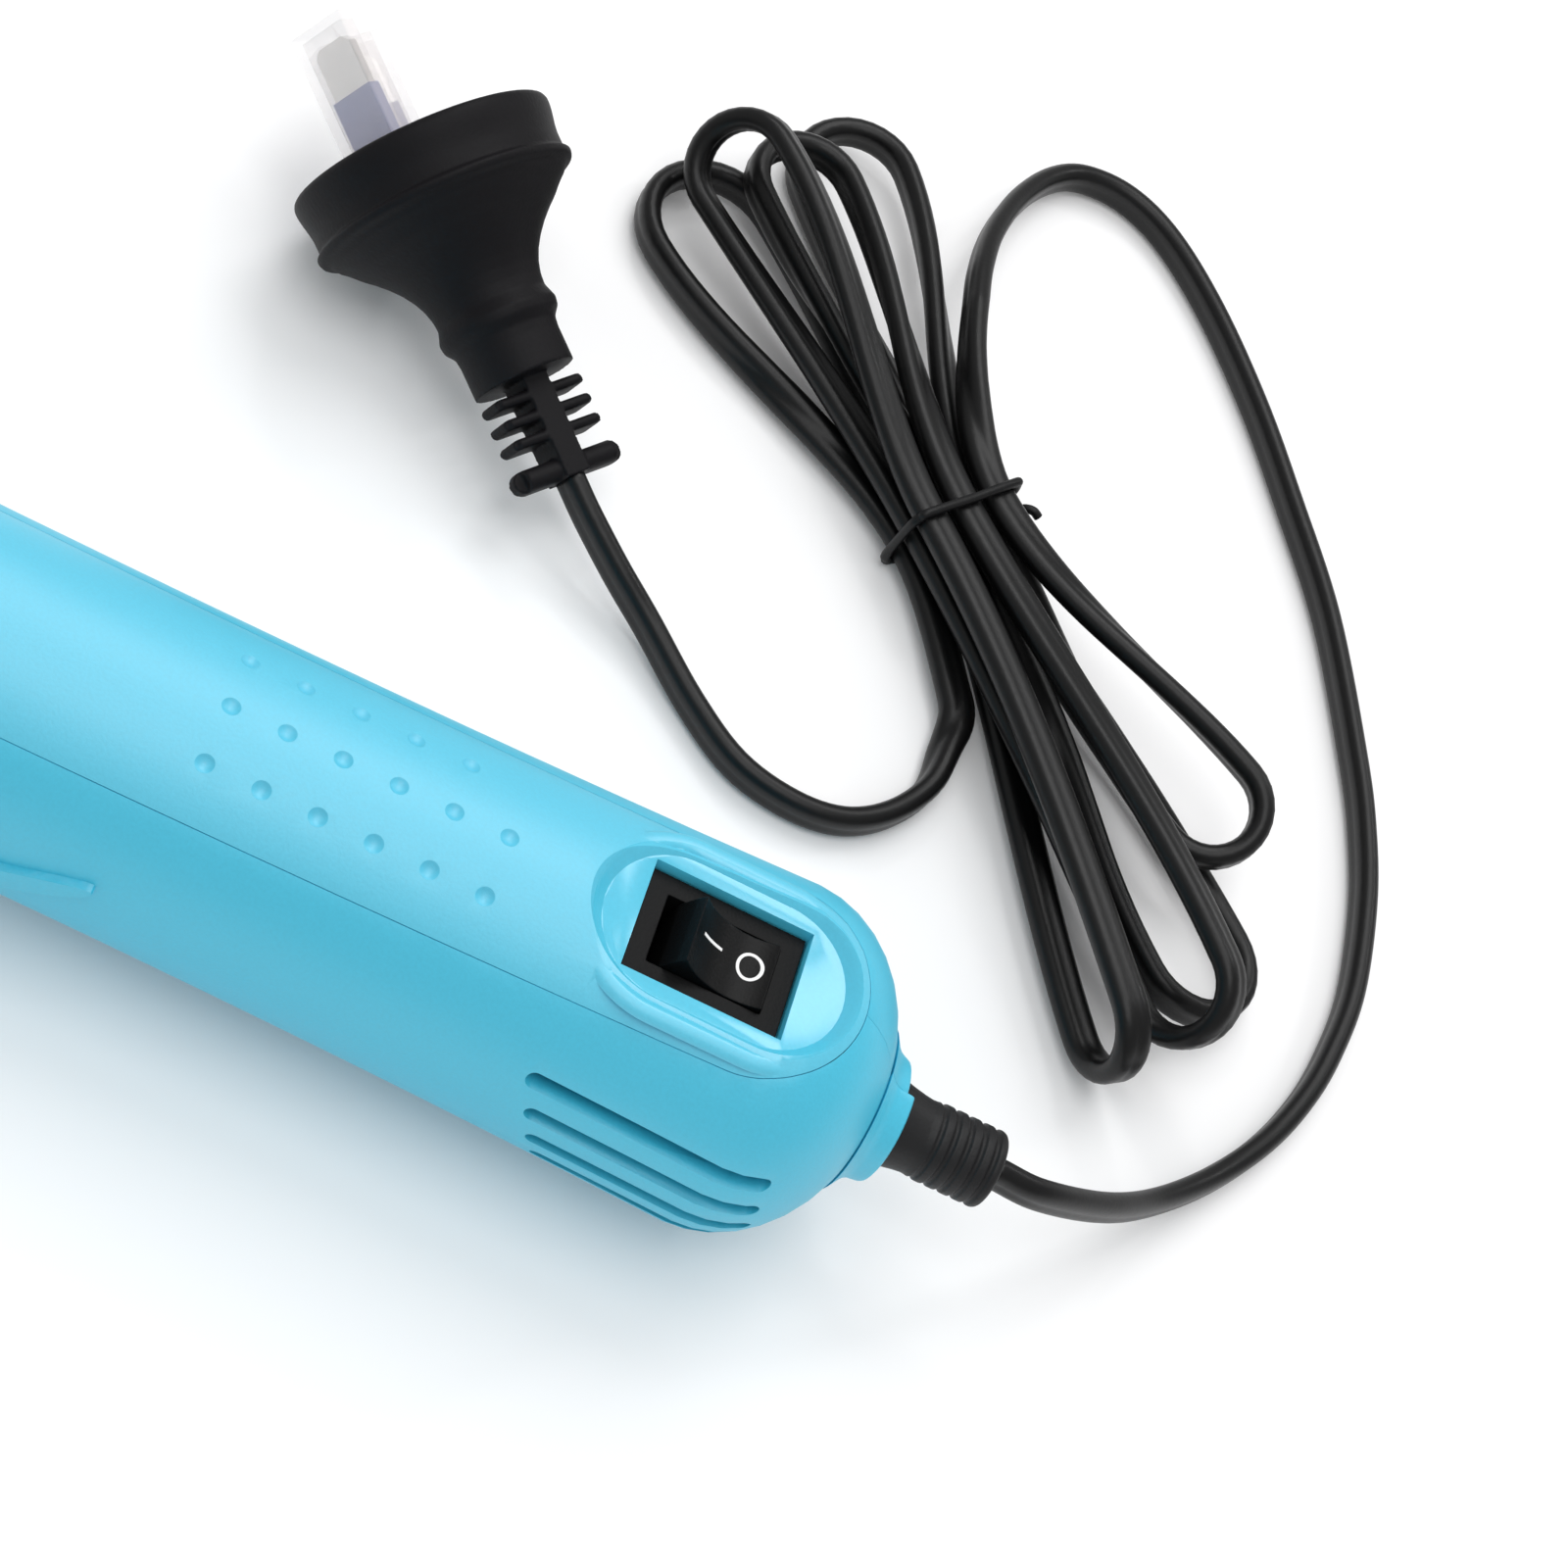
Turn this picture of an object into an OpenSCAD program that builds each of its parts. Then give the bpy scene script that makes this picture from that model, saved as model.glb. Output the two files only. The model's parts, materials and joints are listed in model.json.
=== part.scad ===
// Embossing heat tool: a mains hot air pen for craft work, lying on a table
// with its flat twin cord folded into a tied hank and a round two-pin plug.
// Length runs along X, from the metal nozzle (-X) to the cord (+X). The switch
// is on top (+Z). Y = 0 is the seam plane of the two side shells.
// All sizes are in millimetres.

/* [Body] */
// Length from the nozzle's mouth to the end of the cord boot
overall_l = 236; // [220:1:260]
// Radius of the barrel at its two widest places, which it lies on
body_r = 23.2; // [22.6:0.1:24]
// Radius of the barrel at its waist
waist_r = 21; // [20.6:0.1:22]
// Distance from the waist to the collar's end
waist_back = 134; // [128:1:138]
// Length of the plastic barrel from its nose to the collar's end
barrel_l = 177; // [174:1:182]
// Radius of the flat nose around the nozzle
nose_r = 17.6; // [17.4:0.1:18.2]
// Length of the rounding behind the nose
nose_round = 13; // [11:0.5:15]
// Length of the rounded tail
tail_round = 18.2; // [16:0.1:20]
// Thickness of the moulded shells
wall = 2.2; // [1.8:0.1:2.4]
// How fast the barrel widens towards the tail
flare_power = 2.2; // [1.6:0.1:2.8]
// Depth of the flats that the barrel rests on
rest_flat = 0.4; // [0.2:0.1:0.8]
// Gap that shows as a seam between two mouldings
seam = 0.1; // [0.06:0.02:0.2]
// Radius of the collar around the cord boot
collar_r = 8.4; // [8:0.1:9]
// Length of the collar
collar_l = 4.1; // [3.5:0.1:5]

/* [Top cover] */
// Half width of the cover strip
cover_w2 = 13.9; // [13.2:0.1:14.6]
// Distance from the cover's rear tip to the collar's end
cover_back = 14; // [13:0.5:16]
// Thickness of the ledge that the cover lies on
ledge_t = 1.2; // [1:0.1:1.6]
// Width of the ledge on each side of the seam
ledge_w = 2; // [1.5:0.1:3]
// Number of grip dimples in a row
dimple_n = 6; // [3:1:7]
// Distance between grip dimples in a row
dimple_pitch = 7.2; // [6:0.1:7.6]
// Angle between neighbouring dimple rows, about the axis
dimple_angle = 21.2; // [16:0.2:24]
// Diameter of a dimple at the surface
dimple_d = 2.4; // [1.8:0.1:3]
// Depth of a dimple
dimple_deep = 0.5; // [0.3:0.1:0.8]
// Distance from the switch centre to the nearest dimple
dimple_from_switch = 29; // [26:0.5:32]

/* [Switch] */
// Distance from the switch centre to the collar's end
switch_back = 33.8; // [33:0.1:35]
// Length of the switch bezel
bezel_l = 21; // [20:0.1:21.6]
// Width of the switch bezel
bezel_w = 15; // [14:0.1:15.4]
// Thickness of the switch bezel
bezel_t = 2; // [1.6:0.1:2.4]
// Height of the dish floor above the barrel's axis
dish_z = 19.7; // [19.4:0.1:19.9]
// Depth of the bezel's top below the dish floor
bezel_sunk = 1.6; // [1.2:0.1:2]
// Radius of the round ends of the dish's floor
dish_r = 9.9; // [9.6:0.1:10.4]
// Distance from the switch centre to the front end of the dish's floor
dish_front = 15.4; // [15:0.1:16.4]
// Distance from the switch centre to the rear end of the dish's floor
dish_rear = 17; // [16.4:0.1:17.4]
// Radius of the bead that runs round the dish
bead_r = 1.7; // [1.4:0.1:1.8]
// Length of the window for the rocker
window_l = 15.4; // [14.8:0.1:15.6]
// Width of the window for the rocker
window_w = 9.8; // [9.2:0.1:10]
// Length of the switch body below its bezel
switch_l = 18.6; // [18:0.1:19]
// Width of the switch body below its bezel
switch_w = 12.8; // [12.4:0.1:13.2]
// Depth of the switch body below its bezel
switch_deep = 13; // [12:0.5:14]
// Length of the rocker between its top edges
rocker_l = 11.7; // [11.4:0.1:11.8]
// Height of the rocker's top edges above its pivot
rocker_h = 7.3; // [7:0.1:7.4]
// Depth of the hollow in the rocker's top
rocker_dip = 2.2; // [1.6:0.1:2.4]
// Depth of the rocker's pivot below the bezel's top
pivot_deep = 4.6; // [4.4:0.1:4.8]
// Tilt of the rocker each way from level
rocker_tilt = 14.4; // [13:0.2:14.8]
// Radius of the rocker's pivot pins
pivot_r = 1.2; // [1:0.1:1.4]
// Running clearance of a pin or shaft in its hole
run_gap = 0.05; // [0.03:0.01:0.08]

/* [Vents and fins] */
// Number of vent slots on each side
vent_n = 4; // [2:1:4]
// Distance between vent slots
vent_pitch = 5.2; // [4.6:0.1:5.4]
// Width of a vent slot
vent_w = 2.4; // [1.6:0.1:2.8]
// Length of the uppermost vent slot
vent_l = 32.8; // [26:0.2:33]
// Height of the uppermost vent slot above the axis
vent_top = 8.2; // [7:0.1:9]
// Height of the side fins above the barrel's surface
fin_h = 1.1; // [0.6:0.1:1.4]
// Length of the side fins along the barrel
fin_l = 52; // [40:1:56]
// Width of the side fins at their front end
fin_w = 8.5; // [6:0.5:10]

/* [Nozzle and heater] */
// Outer radius of the nozzle tube
nozzle_r = 16; // [15:0.1:16.2]
// Thickness of the nozzle tube
nozzle_t = 0.6; // [0.5:0.1:0.8]
// Length of the nozzle tube inside the barrel
nozzle_in = 40; // [36:1:42]
// Outer radius of the nozzle's flange
flange_r = 17.4; // [17:0.1:17.5]
// Thickness of the nozzle's flange
flange_t = 1.2; // [1:0.1:1.6]
// Distance from the nozzle's mouth to the outlet grille
grille_in = 8; // [6:0.5:10]
// Outer radius of the mica heat sleeve
sleeve_r = 14.8; // [14:0.1:14.9]
// Thickness of the mica heat sleeve
sleeve_t = 0.5; // [0.4:0.1:0.8]
// Length of the heater former
former_l = 64; // [56:1:66]
// Thickness of the mica plates
mica_t = 0.8; // [0.6:0.1:1.2]
// Radius of the heating coil to the centre of its wire
coil_r = 11; // [9:0.5:12]
// Turns of the heating coil
coil_turns = 12; // [6:1:14]
// Diameter of the heating wire
coil_wire = 0.9; // [0.6:0.1:1.2]

/* [Motor and fan] */
// Radius of the motor can
motor_r = 12.2; // [11:0.1:12.6]
// Length of the motor can
motor_l = 30.8; // [28:0.2:32]
// Distance from the motor's front to the collar's end
motor_back = 96; // [95:0.5:97]
// Radius of the motor shaft
shaft_r = 1; // [0.8:0.1:1.2]
// Thickness of the fan duct
duct_t = 1.2; // [1:0.1:1.4]
// Length of the fan duct
duct_l = 17; // [16:0.5:18]
// Number of blades on the impeller
blade_n = 7; // [5:1:9]
// Gap between the impeller's tips and the duct
tip_gap = 0.5; // [0.4:0.1:1]
// Gap of a piece in the ribs that hold it
fit_gap = 0.2; // [0.1:0.05:0.3]

/* [Cord boot and cord] */
// Width of the flat cord
cord_w = 5.4; // [5.2:0.1:5.8]
// Thickness of the flat cord
cord_t = 3.3; // [3.1:0.1:3.5]
// Radius of the boot
boot_r = 5.3; // [5.2:0.1:5.8]
// Length of the boot outside the collar
boot_out = 14; // [12:0.5:16]
// Number of grooves in the boot
groove_n = 5; // [3:1:6]
// Distance between the boot's grooves
groove_pitch = 1.94; // [1.8:0.02:2]
// Depth of the boot's grooves
groove_deep = 0.45; // [0.3:0.05:0.6]

/* [Plug] */
// Radius of the plug's face
plug_r = 19.2; // [18.5:0.1:20]
// Length of the plug from its face to the cord
plug_l = 50; // [48:0.5:54]
// Thickness of the plug's round head
plug_head = 9.5; // [8:0.5:11]
// Radius of the plug's neck
neck_r = 7.4; // [7:0.1:8]
// Length of a pin in front of the face
pin_l = 17; // [16:0.5:18]
// Width of a pin
pin_w = 6.35; // [6.2:0.05:6.5]
// Thickness of a pin
pin_t = 1.63; // [1.5:0.01:1.8]
// Distance from the plug's axis to a pin's centre
pin_circle = 7.92; // [7.8:0.01:8.1]
// Length of the insulating sleeve on a pin
sleeve_len = 9.5; // [7:0.5:9.5]
// Thickness of the insulating sleeve
sleeve_wall = 0.3; // [0.2:0.05:0.4]
// Thickness of the clear pin cover
cover_wall = 1; // [0.8:0.1:1.2]
// Length of the clear pin cover
pin_cover_l = 19.5; // [18.5:0.5:22]

/* [Hidden] */

shell_blue = [0.36, 0.80, 0.90];
black = [0.06, 0.06, 0.065];
eps = 0.01;
fine = 96;
medium = 48;

axis_z = body_r - rest_flat;
tail_x = overall_l / 2;
mouth_x = -overall_l / 2;
collar_x = tail_x - boot_out;
nose_x = collar_x - barrel_l;
waist_x = collar_x - waist_back;
front_x = nose_x + nose_round;
dome_end = collar_x - collar_l;
dome_x = dome_end - tail_round;
dome_r = 2;
switch_x = collar_x - switch_back;
bezel_z = dish_z - bezel_sunk;
motor_x = collar_x - motor_back;
motor_end = motor_x + motor_l;
duct_r = waist_r - wall - fit_gap;
duct_x = motor_x - duct_l;
impeller_r = duct_r - duct_t - tip_gap;
pivot_z = axis_z + bezel_z - pivot_deep;
nozzle_end = nose_x + nozzle_in;
grille_x = mouth_x + grille_in;
former_end = grille_x + 8 + former_l;
board_x = motor_end + 3.2;
board_t = 1.6;
board_r = motor_r - 0.7;
shaft_end = motor_end + 0.7;
boss_z = axis_z - 14.4;
boss_x = [waist_x + 8, motor_end + 11.2, collar_x - 14];
clamp_x = collar_x - 17;
clamp_l = 6;
clamp_z = 6.4;
screw_r = 1.45;
head_r = 3;
head_y = 8;
wire_r = 0.75;

function ease(t) = t < 0 ? 0 : t > 1 ? 1 : t * t * (3 - 2 * t);

// Barrel outline, d inside the outer surface, as [radius, x] points.
function nose_arc(d) = [for (a = [0:15:90])
    [nose_r + (body_r - nose_r - d) * sin(a), front_x - (nose_round - d) * cos(a)]];
function front_run(d) = [for (i = [1:6])
    let (t = i / 6) [body_r - (body_r - waist_r) * ease(t) - d, front_x + (waist_x - front_x) * t]];
function rear_run(d) = [for (i = [1:9])
    let (t = i / 10) [waist_r + (body_r - waist_r) * pow(t, flare_power) - d,
                      waist_x + (dome_x - waist_x) * t]];
function tail_arc(d) = [for (a = [90:-9:0])
    [dome_r + (body_r - dome_r - d) * sin(a), dome_x + (tail_round - d) * cos(a)]];
function outline(d) = concat([[0, nose_x + d]], nose_arc(d), front_run(d), rear_run(d), tail_arc(d),
                             [[0, dome_end - d]]);
function rear_r(x) = waist_r + (body_r - waist_r) * pow((x - waist_x) / (dome_x - waist_x), flare_power);

// Everything that turns about the barrel's axis is drawn along Z and laid along X.
module along_x() { translate([0, 0, axis_z]) rotate([0, 90, 0]) children(); }
module tube_x(x0, x1, r, bore = 0, sides = fine) {
    along_x() translate([0, 0, x0]) difference() {
        cylinder(h = x1 - x0, r = r, $fn = sides);
        if (bore > 0) translate([0, 0, -eps]) cylinder(h = x1 - x0 + 2 * eps, r = bore, $fn = sides);
    }
}
module barrel(d) { along_x() rotate_extrude($fn = fine) polygon(outline(d)); }
module pin_y(x, z, y0, y1, r) {
    translate([x, y0, z]) rotate([-90, 0, 0]) cylinder(h = y1 - y0, r = r, $fn = medium);
}
module half_space(side, gap) {
    big = overall_l;
    translate([-big, side > 0 ? gap / 2 : -big - gap / 2, -big]) cube([2 * big, big, 2 * big]);
}

// Body mouldings
cover_front = nose_x + 9;
cover_end = collar_x - cover_back - cover_w2;
module cover_prism(grow) {
    translate([0, 0, axis_z + 3]) linear_extrude(body_r + 4) {
        translate([cover_front - grow, -cover_w2 - grow])
            square([cover_end - cover_front + grow, 2 * (cover_w2 + grow)]);
        translate([cover_end, 0]) circle(cover_w2 + grow, $fn = fine);
    }
}
module ring_rib(x, t, inner) {
    intersection() {
        difference() {
            barrel(wall - 0.5);
            tube_x(x - t, x + 2 * t, inner);
        }
        translate([x, -body_r, 0]) cube([t, 2 * body_r, axis_z + 8]);
    }
}
module motor_cradle() {
    cradle_t = 2;
    for (x = [motor_x + 4, motor_end - 6]) intersection() {
        difference() {
            barrel(wall - 0.5);
            tube_x(x - cradle_t, x + 2 * cradle_t, motor_r + fit_gap);
        }
        union() {
            translate([x, -body_r, axis_z - 5]) cube([cradle_t, 2 * body_r, 10]);
            translate([x, -6, 0]) cube([cradle_t, 12, axis_z]);
        }
    }
}
module vent_slot(i) {
    z = axis_z + vent_top - i * vent_pitch;
    x0 = switch_x - 14.6 + 2.2 * i + vent_w / 2;
    x1 = x0 + vent_l - 1.2 * i - vent_w;
    for (s = [-1, 1]) {
        y0 = s > 0 ? body_r - 9 : -body_r - 1;
        translate([x0, y0, z - vent_w / 2]) cube([x1 - x0, 10, vent_w]);
        for (x = [x0, x1]) pin_y(x, z, y0, y0 + 10, vent_w / 2);
    }
}
fin_tip = switch_x - 69.7;
function fin_z(t) = axis_z + 5.2 - 17 * sin(90 * t);
function fin_half(t) = fin_w / 2 * pow(t, 0.45);
fin_steps = [for (i = [0:14]) pow(i / 14, 2)];
module side_fins() {
    outline = concat([for (t = fin_steps) [fin_tip - t * fin_l, fin_z(t) + fin_half(t)]],
                     [for (i = [14:-1:1]) let (t = fin_steps[i])
                         [fin_tip - t * fin_l, fin_z(t) - fin_half(t)]]);
    intersection() {
        difference() {
            barrel(-fin_h);
            barrel(wall / 2);
        }
        translate([0, 2 * body_r, 0]) rotate([90, 0, 0]) linear_extrude(4 * body_r) polygon(outline);
    }
}
module clamp_posts() {
    pad_t = 2;
    pad_y = -cord_t / 2 - 0.1;
    difference() {
        intersection() {
            union() {
                translate([clamp_x, pad_y - pad_t, axis_z - clamp_z - 2.6])
                    cube([clamp_l, pad_t, 2 * (clamp_z + 2.6)]);
                for (s = [-1, 1])
                    pin_y(clamp_x + clamp_l / 2, axis_z + s * clamp_z, -body_r, -pad_y, 2.6);
            }
            barrel(wall - 0.5);
        }
        for (s = [-1, 1])
            pin_y(clamp_x + clamp_l / 2, axis_z + s * clamp_z, -8, -pad_y + eps, 1.25);
    }
}
// The collar's far half is the shorter one.
module collar(side) {
    end = collar_x - (side > 0 ? 1.9 : 0.9);
    along_x() rotate_extrude($fn = fine)
        polygon([[0, dome_end - 1.6], [collar_r + 3, dome_end - 1.6], [collar_r + 1.3, dome_end - 0.4],
                 [collar_r + 0.6, dome_end + 0.3], [collar_r + 0.2, dome_end + 1],
                 [collar_r, end - 0.7], [collar_r - 0.2, end - 0.25], [collar_r - 0.7, end], [0, end]]);
}
module shell_half(side) {
    boss_r = side > 0 ? 4.6 : 3.4;
    difference() {
        intersection() {
            union() {
                difference() {
                    union() {
                        barrel(0);
                        side_fins();
                        collar(side);
                    }
                    barrel(wall);
                }
                intersection() {
                    difference() {
                        barrel(wall - 0.5);
                        barrel(wall + ledge_t);
                        tube_x(duct_x - fit_gap, motor_x + fit_gap, duct_r + fit_gap / 2);
                        dish_block(seam);
                    }
                    difference() {
                        cover_prism(ledge_w);
                        cover_prism(-ledge_w);
                    }
                }
                ring_rib(nose_x + wall + flange_t + 2 * fit_gap, 1.6, nozzle_r + fit_gap);
                ring_rib(nozzle_end - 3, 1.6, nozzle_r + fit_gap);
                ring_rib(duct_x - fit_gap - 1.6, 1.6, duct_r - 1);
                ring_rib(motor_x + fit_gap, 1.6, duct_r - 1);
                motor_cradle();
                intersection() {
                    barrel(wall - 0.5);
                    for (x = boss_x) pin_y(x, boss_z, -body_r, body_r, boss_r);
                }
            }
            half_space(side, side > 0 ? seam : 0);
        }
        difference() {
            cover_prism(seam);
            barrel(wall + seam);
        }
        tube_x(nose_x - 1, nose_x + wall + 1, nozzle_r + fit_gap);
        tube_x(dome_end - wall - 1, collar_x + 1, stem_r + fit_gap / 2);
        for (i = [0:vent_n - 1]) vent_slot(i);
        for (x = boss_x) {
            if (side > 0) {
                pin_y(x, boss_z, -1, body_r, screw_r + 0.15);
                pin_y(x, boss_z, head_y, body_r, head_r + 0.4);
            } else {
                pin_y(x, boss_z, -9, 1, screw_r + run_gap);
            }
        }
        translate([-overall_l, -body_r, -overall_l]) cube([2 * overall_l, 2 * body_r, overall_l]);
    }
}
module left_shell() {
    color(shell_blue) union() {
        shell_half(-1);
        clamp_posts();
    }
}
module right_shell() { color(shell_blue) shell_half(1); }

module stadium(x0, x1, r, z0, z1) {
    translate([0, 0, z0]) linear_extrude(z1 - z0) {
        translate([x0 + r, -r]) square([x1 - x0 - 2 * r, 2 * r]);
        for (x = [x0 + r, x1 - r]) translate([x, 0]) circle(r, $fn = fine);
    }
}
// A stadium whose wall slopes out as fast as it rises.
module sloped_stadium(x0, x1, r, z0, h) {
    translate([x0 + r, 0, z0]) rotate([90, 0, 90]) linear_extrude(x1 - x0 - 2 * r)
        polygon([[-r, 0], [r, 0], [r + h, h], [-r - h, h]]);
    for (x = [x0 + r, x1 - r]) translate([x, 0, z0]) cylinder(h = h, r1 = r, r2 = r + h, $fn = fine);
}
// A round bead along a stadium's outline.
module bead(x0, x1, r, z, t) {
    for (s = [-1, 1]) translate([x0 + r, s * r, z]) rotate([90, 0, 90])
        linear_extrude(x1 - x0 - 2 * r) circle(t, $fn = medium);
    for (s = [0, 1]) translate([s == 0 ? x0 + r : x1 - r, 0, z]) rotate(s == 0 ? 90 : -90)
        rotate_extrude(angle = 180, $fn = fine) translate([r, 0]) circle(t, $fn = medium);
}
module dish_block(grow) {
    stadium(switch_x - dish_front - 2 - grow, switch_x + dish_rear + 2 + grow, dish_r + 2 + grow,
            axis_z + dish_z - 2 - grow, axis_z + dish_z + body_r);
}
module centred_box(x, l, w, z0, z1) { translate([x - l / 2, -w / 2, z0]) cube([l, w, z1 - z0]); }
module dimples() {
    ball_r = (pow(dimple_d / 2, 2) + pow(dimple_deep, 2)) / (2 * dimple_deep);
    for (i = [0:dimple_n - 1], a = [-1, 0, 1]) {
        x = switch_x - dimple_from_switch - i * dimple_pitch;
        r = rear_r(x) + ball_r - dimple_deep;
        translate([x, r * sin(a * dimple_angle), axis_z + r * cos(a * dimple_angle)])
            sphere(ball_r, $fn = 24);
    }
}
module top_cover() {
    floor_z = axis_z + dish_z;
    seat_z = axis_z + bezel_z - bezel_t;
    well_t = 1.4;
    color(shell_blue) difference() {
        union() {
            intersection() {
                difference() {
                    barrel(0);
                    barrel(wall);
                }
                cover_prism(0);
            }
            intersection() {
                barrel(0);
                dish_block(0);
            }
            intersection() {
                bead(switch_x - dish_front - 1.9, switch_x + dish_rear + 1.9, dish_r + 1.9,
                     floor_z - 1.15, bead_r);
                cover_prism(0);
                centred_box(switch_x, 3 * dish_rear, 3 * dish_r, floor_z - 0.5, floor_z + bead_r);
            }
            centred_box(switch_x, bezel_l + 2 * well_t, bezel_w + 2 * well_t, seat_z - 1.6, floor_z);
        }
        sloped_stadium(switch_x - dish_front, switch_x + dish_rear, dish_r, floor_z, 6);
        centred_box(switch_x, bezel_l + 0.6, bezel_w + 0.6, seat_z, floor_z + 1);
        centred_box(switch_x, switch_l + 0.3, switch_w + 0.3, seat_z - 3, seat_z + 1);
        dimples();
    }
}

// Nozzle and heater
module nozzle_tube() {
    lip = 0.8;
    color([0.78, 0.78, 0.8]) union() {
        tube_x(mouth_x, nose_x - fit_gap, nozzle_r, nozzle_r - nozzle_t);
        tube_x(nose_x - 2 * fit_gap, nozzle_end, nozzle_r - nozzle_t / 3, nozzle_r - nozzle_t);
        tube_x(mouth_x, mouth_x + lip, nozzle_r, nozzle_r - nozzle_t - lip);
        tube_x(nose_x + wall + fit_gap, nose_x + wall + fit_gap + flange_t, flange_r, nozzle_r - nozzle_t);
    }
}
module outlet_grille() {
    ring_r = nozzle_r - nozzle_t - fit_gap;
    bar = 1;
    color([0.7, 0.7, 0.72]) union() {
        tube_x(grille_x, grille_x + 3, ring_r, ring_r - 0.8);
        for (a = [0:60:120]) along_x() rotate(a)
            translate([-ring_r + 0.4, -bar / 2, grille_x + 1]) cube([2 * ring_r - 0.8, bar, bar]);
        tube_x(grille_x + 1, grille_x + 2, 8, 7);
    }
}
module heat_sleeve() {
    color([0.78, 0.72, 0.6]) tube_x(grille_x + 5, former_end + 1, sleeve_r, sleeve_r - sleeve_t);
}
module heater_former() {
    disc_r = sleeve_r - sleeve_t - fit_gap;
    half = coil_r - coil_wire / 2 - 0.6;
    color([0.85, 0.8, 0.68]) along_x() {
        for (a = [0, 90]) rotate(a)
            translate([-half, -mica_t / 2, former_end - former_l]) cube([2 * half, mica_t, former_l]);
        for (x = [former_end - former_l, former_end - mica_t]) translate([0, 0, x]) difference() {
            cylinder(h = mica_t, r = disc_r, $fn = fine);
            for (a = [45:90:315]) rotate(a) translate([disc_r * 0.58, 0, -1])
                cylinder(h = mica_t + 2, r = disc_r * 0.32, $fn = medium);
        }
    }
}
module thermal_cutout() {
    color([0.55, 0.5, 0.45]) union() {
        tube_x(former_end + 0.1, former_end + 3.6, 4);
        for (s = [-1, 1]) translate([former_end + 3.5, s * 2.4 - 0.4, axis_z - 1.5]) cube([4, 0.8, 3]);
    }
}

// Swept tubes: an oval section carried along a path, flat side turned by a hint.
function unit(v) = v / norm(v);
function tangent(p, i) = unit(p[min(i + 1, len(p) - 1)] - p[max(i - 1, 0)]);
function oval(p, t, hint, a, b, sides) =
    let (wide = unit(hint - (hint * t) * t), thin = cross(t, wide))
    [for (k = [0:sides - 1]) p + a * cos(360 * (k + 0.5) / sides) * wide
                               + b * sin(360 * (k + 0.5) / sides) * thin];
function rings(path, hints, a, b, sides) =
    [for (i = [0:len(path) - 1]) oval(path[i], tangent(path, i), hints[i], a, b, sides)];
module sweep(ring_list) {
    n = len(ring_list);
    m = len(ring_list[0]);
    points = [for (ring = ring_list) each ring];
    sides = [for (i = [0:n - 2], k = [0:m - 1]) let (a = i * m + k, b = i * m + (k + 1) % m)
        each [[a, b, b + m], [a, b + m, a + m]]];
    cap0 = [for (k = [1:m - 2]) [0, k + 1, k]];
    cap1 = [for (k = [1:m - 2]) [(n - 1) * m, (n - 1) * m + k, (n - 1) * m + k + 1]];
    polyhedron(points, concat([for (f = sides) [f[0], f[2], f[1]]], [for (f = cap0) [f[0], f[2], f[1]]],
                              [for (f = cap1) [f[0], f[2], f[1]]]), convexity = 10);
}
// A smooth curve through chosen points, steps pieces to each span.
function bend(a, b, c, d, t) = 0.5 * (2 * b + (c - a) * t + (2 * a - 5 * b + 4 * c - d) * t * t
                                      + (3 * b - 3 * c + d - a) * t * t * t);
function smooth(p, steps) = let (n = len(p)) concat(
    [for (i = [0:n - 2], k = [0:steps - 1])
        bend(i == 0 ? 2 * p[0] - p[1] : p[i - 1], p[i], p[i + 1],
             i == n - 2 ? 2 * p[n - 1] - p[n - 2] : p[i + 2], k / steps)],
    [p[n - 1]]);
// Corners of the flat cord, wide side first, and its rings along a path.
function cord_corners(sides) = let (a = cord_w / 2, b = cord_t / 2) sides == 6
    ? [[a, 0], [a - 1, b], [1 - a, b], [-a, 0], [1 - a, -b], [a - 1, -b]]
    : [[a, -b / 2], [a, b / 2], [a - 0.8, b], [0.8 - a, b], [-a, b / 2], [-a, -b / 2], [0.8 - a, -b],
       [a - 0.8, -b]];
function cord_rings(path, hints, sides) = [for (i = [0:len(path) - 1])
    let (t = tangent(path, i), wide = unit(hints[i] - (hints[i] * t) * t), thin = cross(t, wide))
    [for (c = cord_corners(sides)) path[i] + c[0] * wide + c[1] * thin]];
module wire(points, r, steps = 3, hint = [0.1, 0.2, 1]) {
    path = smooth(points, steps);
    sweep(rings(path, [for (p = path) hint], r, r, 8));
}

module heater_coil() {
    pitch = (former_l - 10) / coil_turns;
    ring_n = 12;
    start = former_end - 5;
    path = [for (i = [0:coil_turns * ring_n]) let (a = 360 * i / ring_n + 20)
        [start - pitch * i / ring_n, coil_r * cos(a), axis_z + coil_r * sin(a)]];
    color([0.6, 0.58, 0.55])
        sweep(rings(path, [for (p = path) [1, 0, 0]], coil_wire / 2, coil_wire / 2, 6));
}

// Fan and motor
wire_y = 9;
wire_z = axis_z + sqrt(pow(duct_r - 0.65, 2) - wire_y * wire_y);
module fan_duct() {
    bore = duct_r - duct_t;
    hub_t = 2.2;
    spoke_n = 5;
    color([0.85, 0.84, 0.8]) difference() {
        union() {
            tube_x(duct_x, motor_x, duct_r, bore);
            tube_x(motor_x - hub_t, motor_x, motor_r - 2);
            for (i = [0:spoke_n - 1]) along_x() rotate(360 * (i + 0.5) / spoke_n)
                translate([motor_r - 3.5, -1, motor_x - hub_t + 0.2])
                    cube([bore - motor_r + 4.1, 2, hub_t - 0.4]);
        }
        tube_x(motor_x - hub_t - 1, motor_x + 1, 3 + fit_gap / 2);
        for (s = [-1, 1]) translate([duct_x - 1, s * wire_y - 1.6, wire_z - 2.2])
            cube([duct_l + 2, 3.2, 6]);
    }
}
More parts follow.
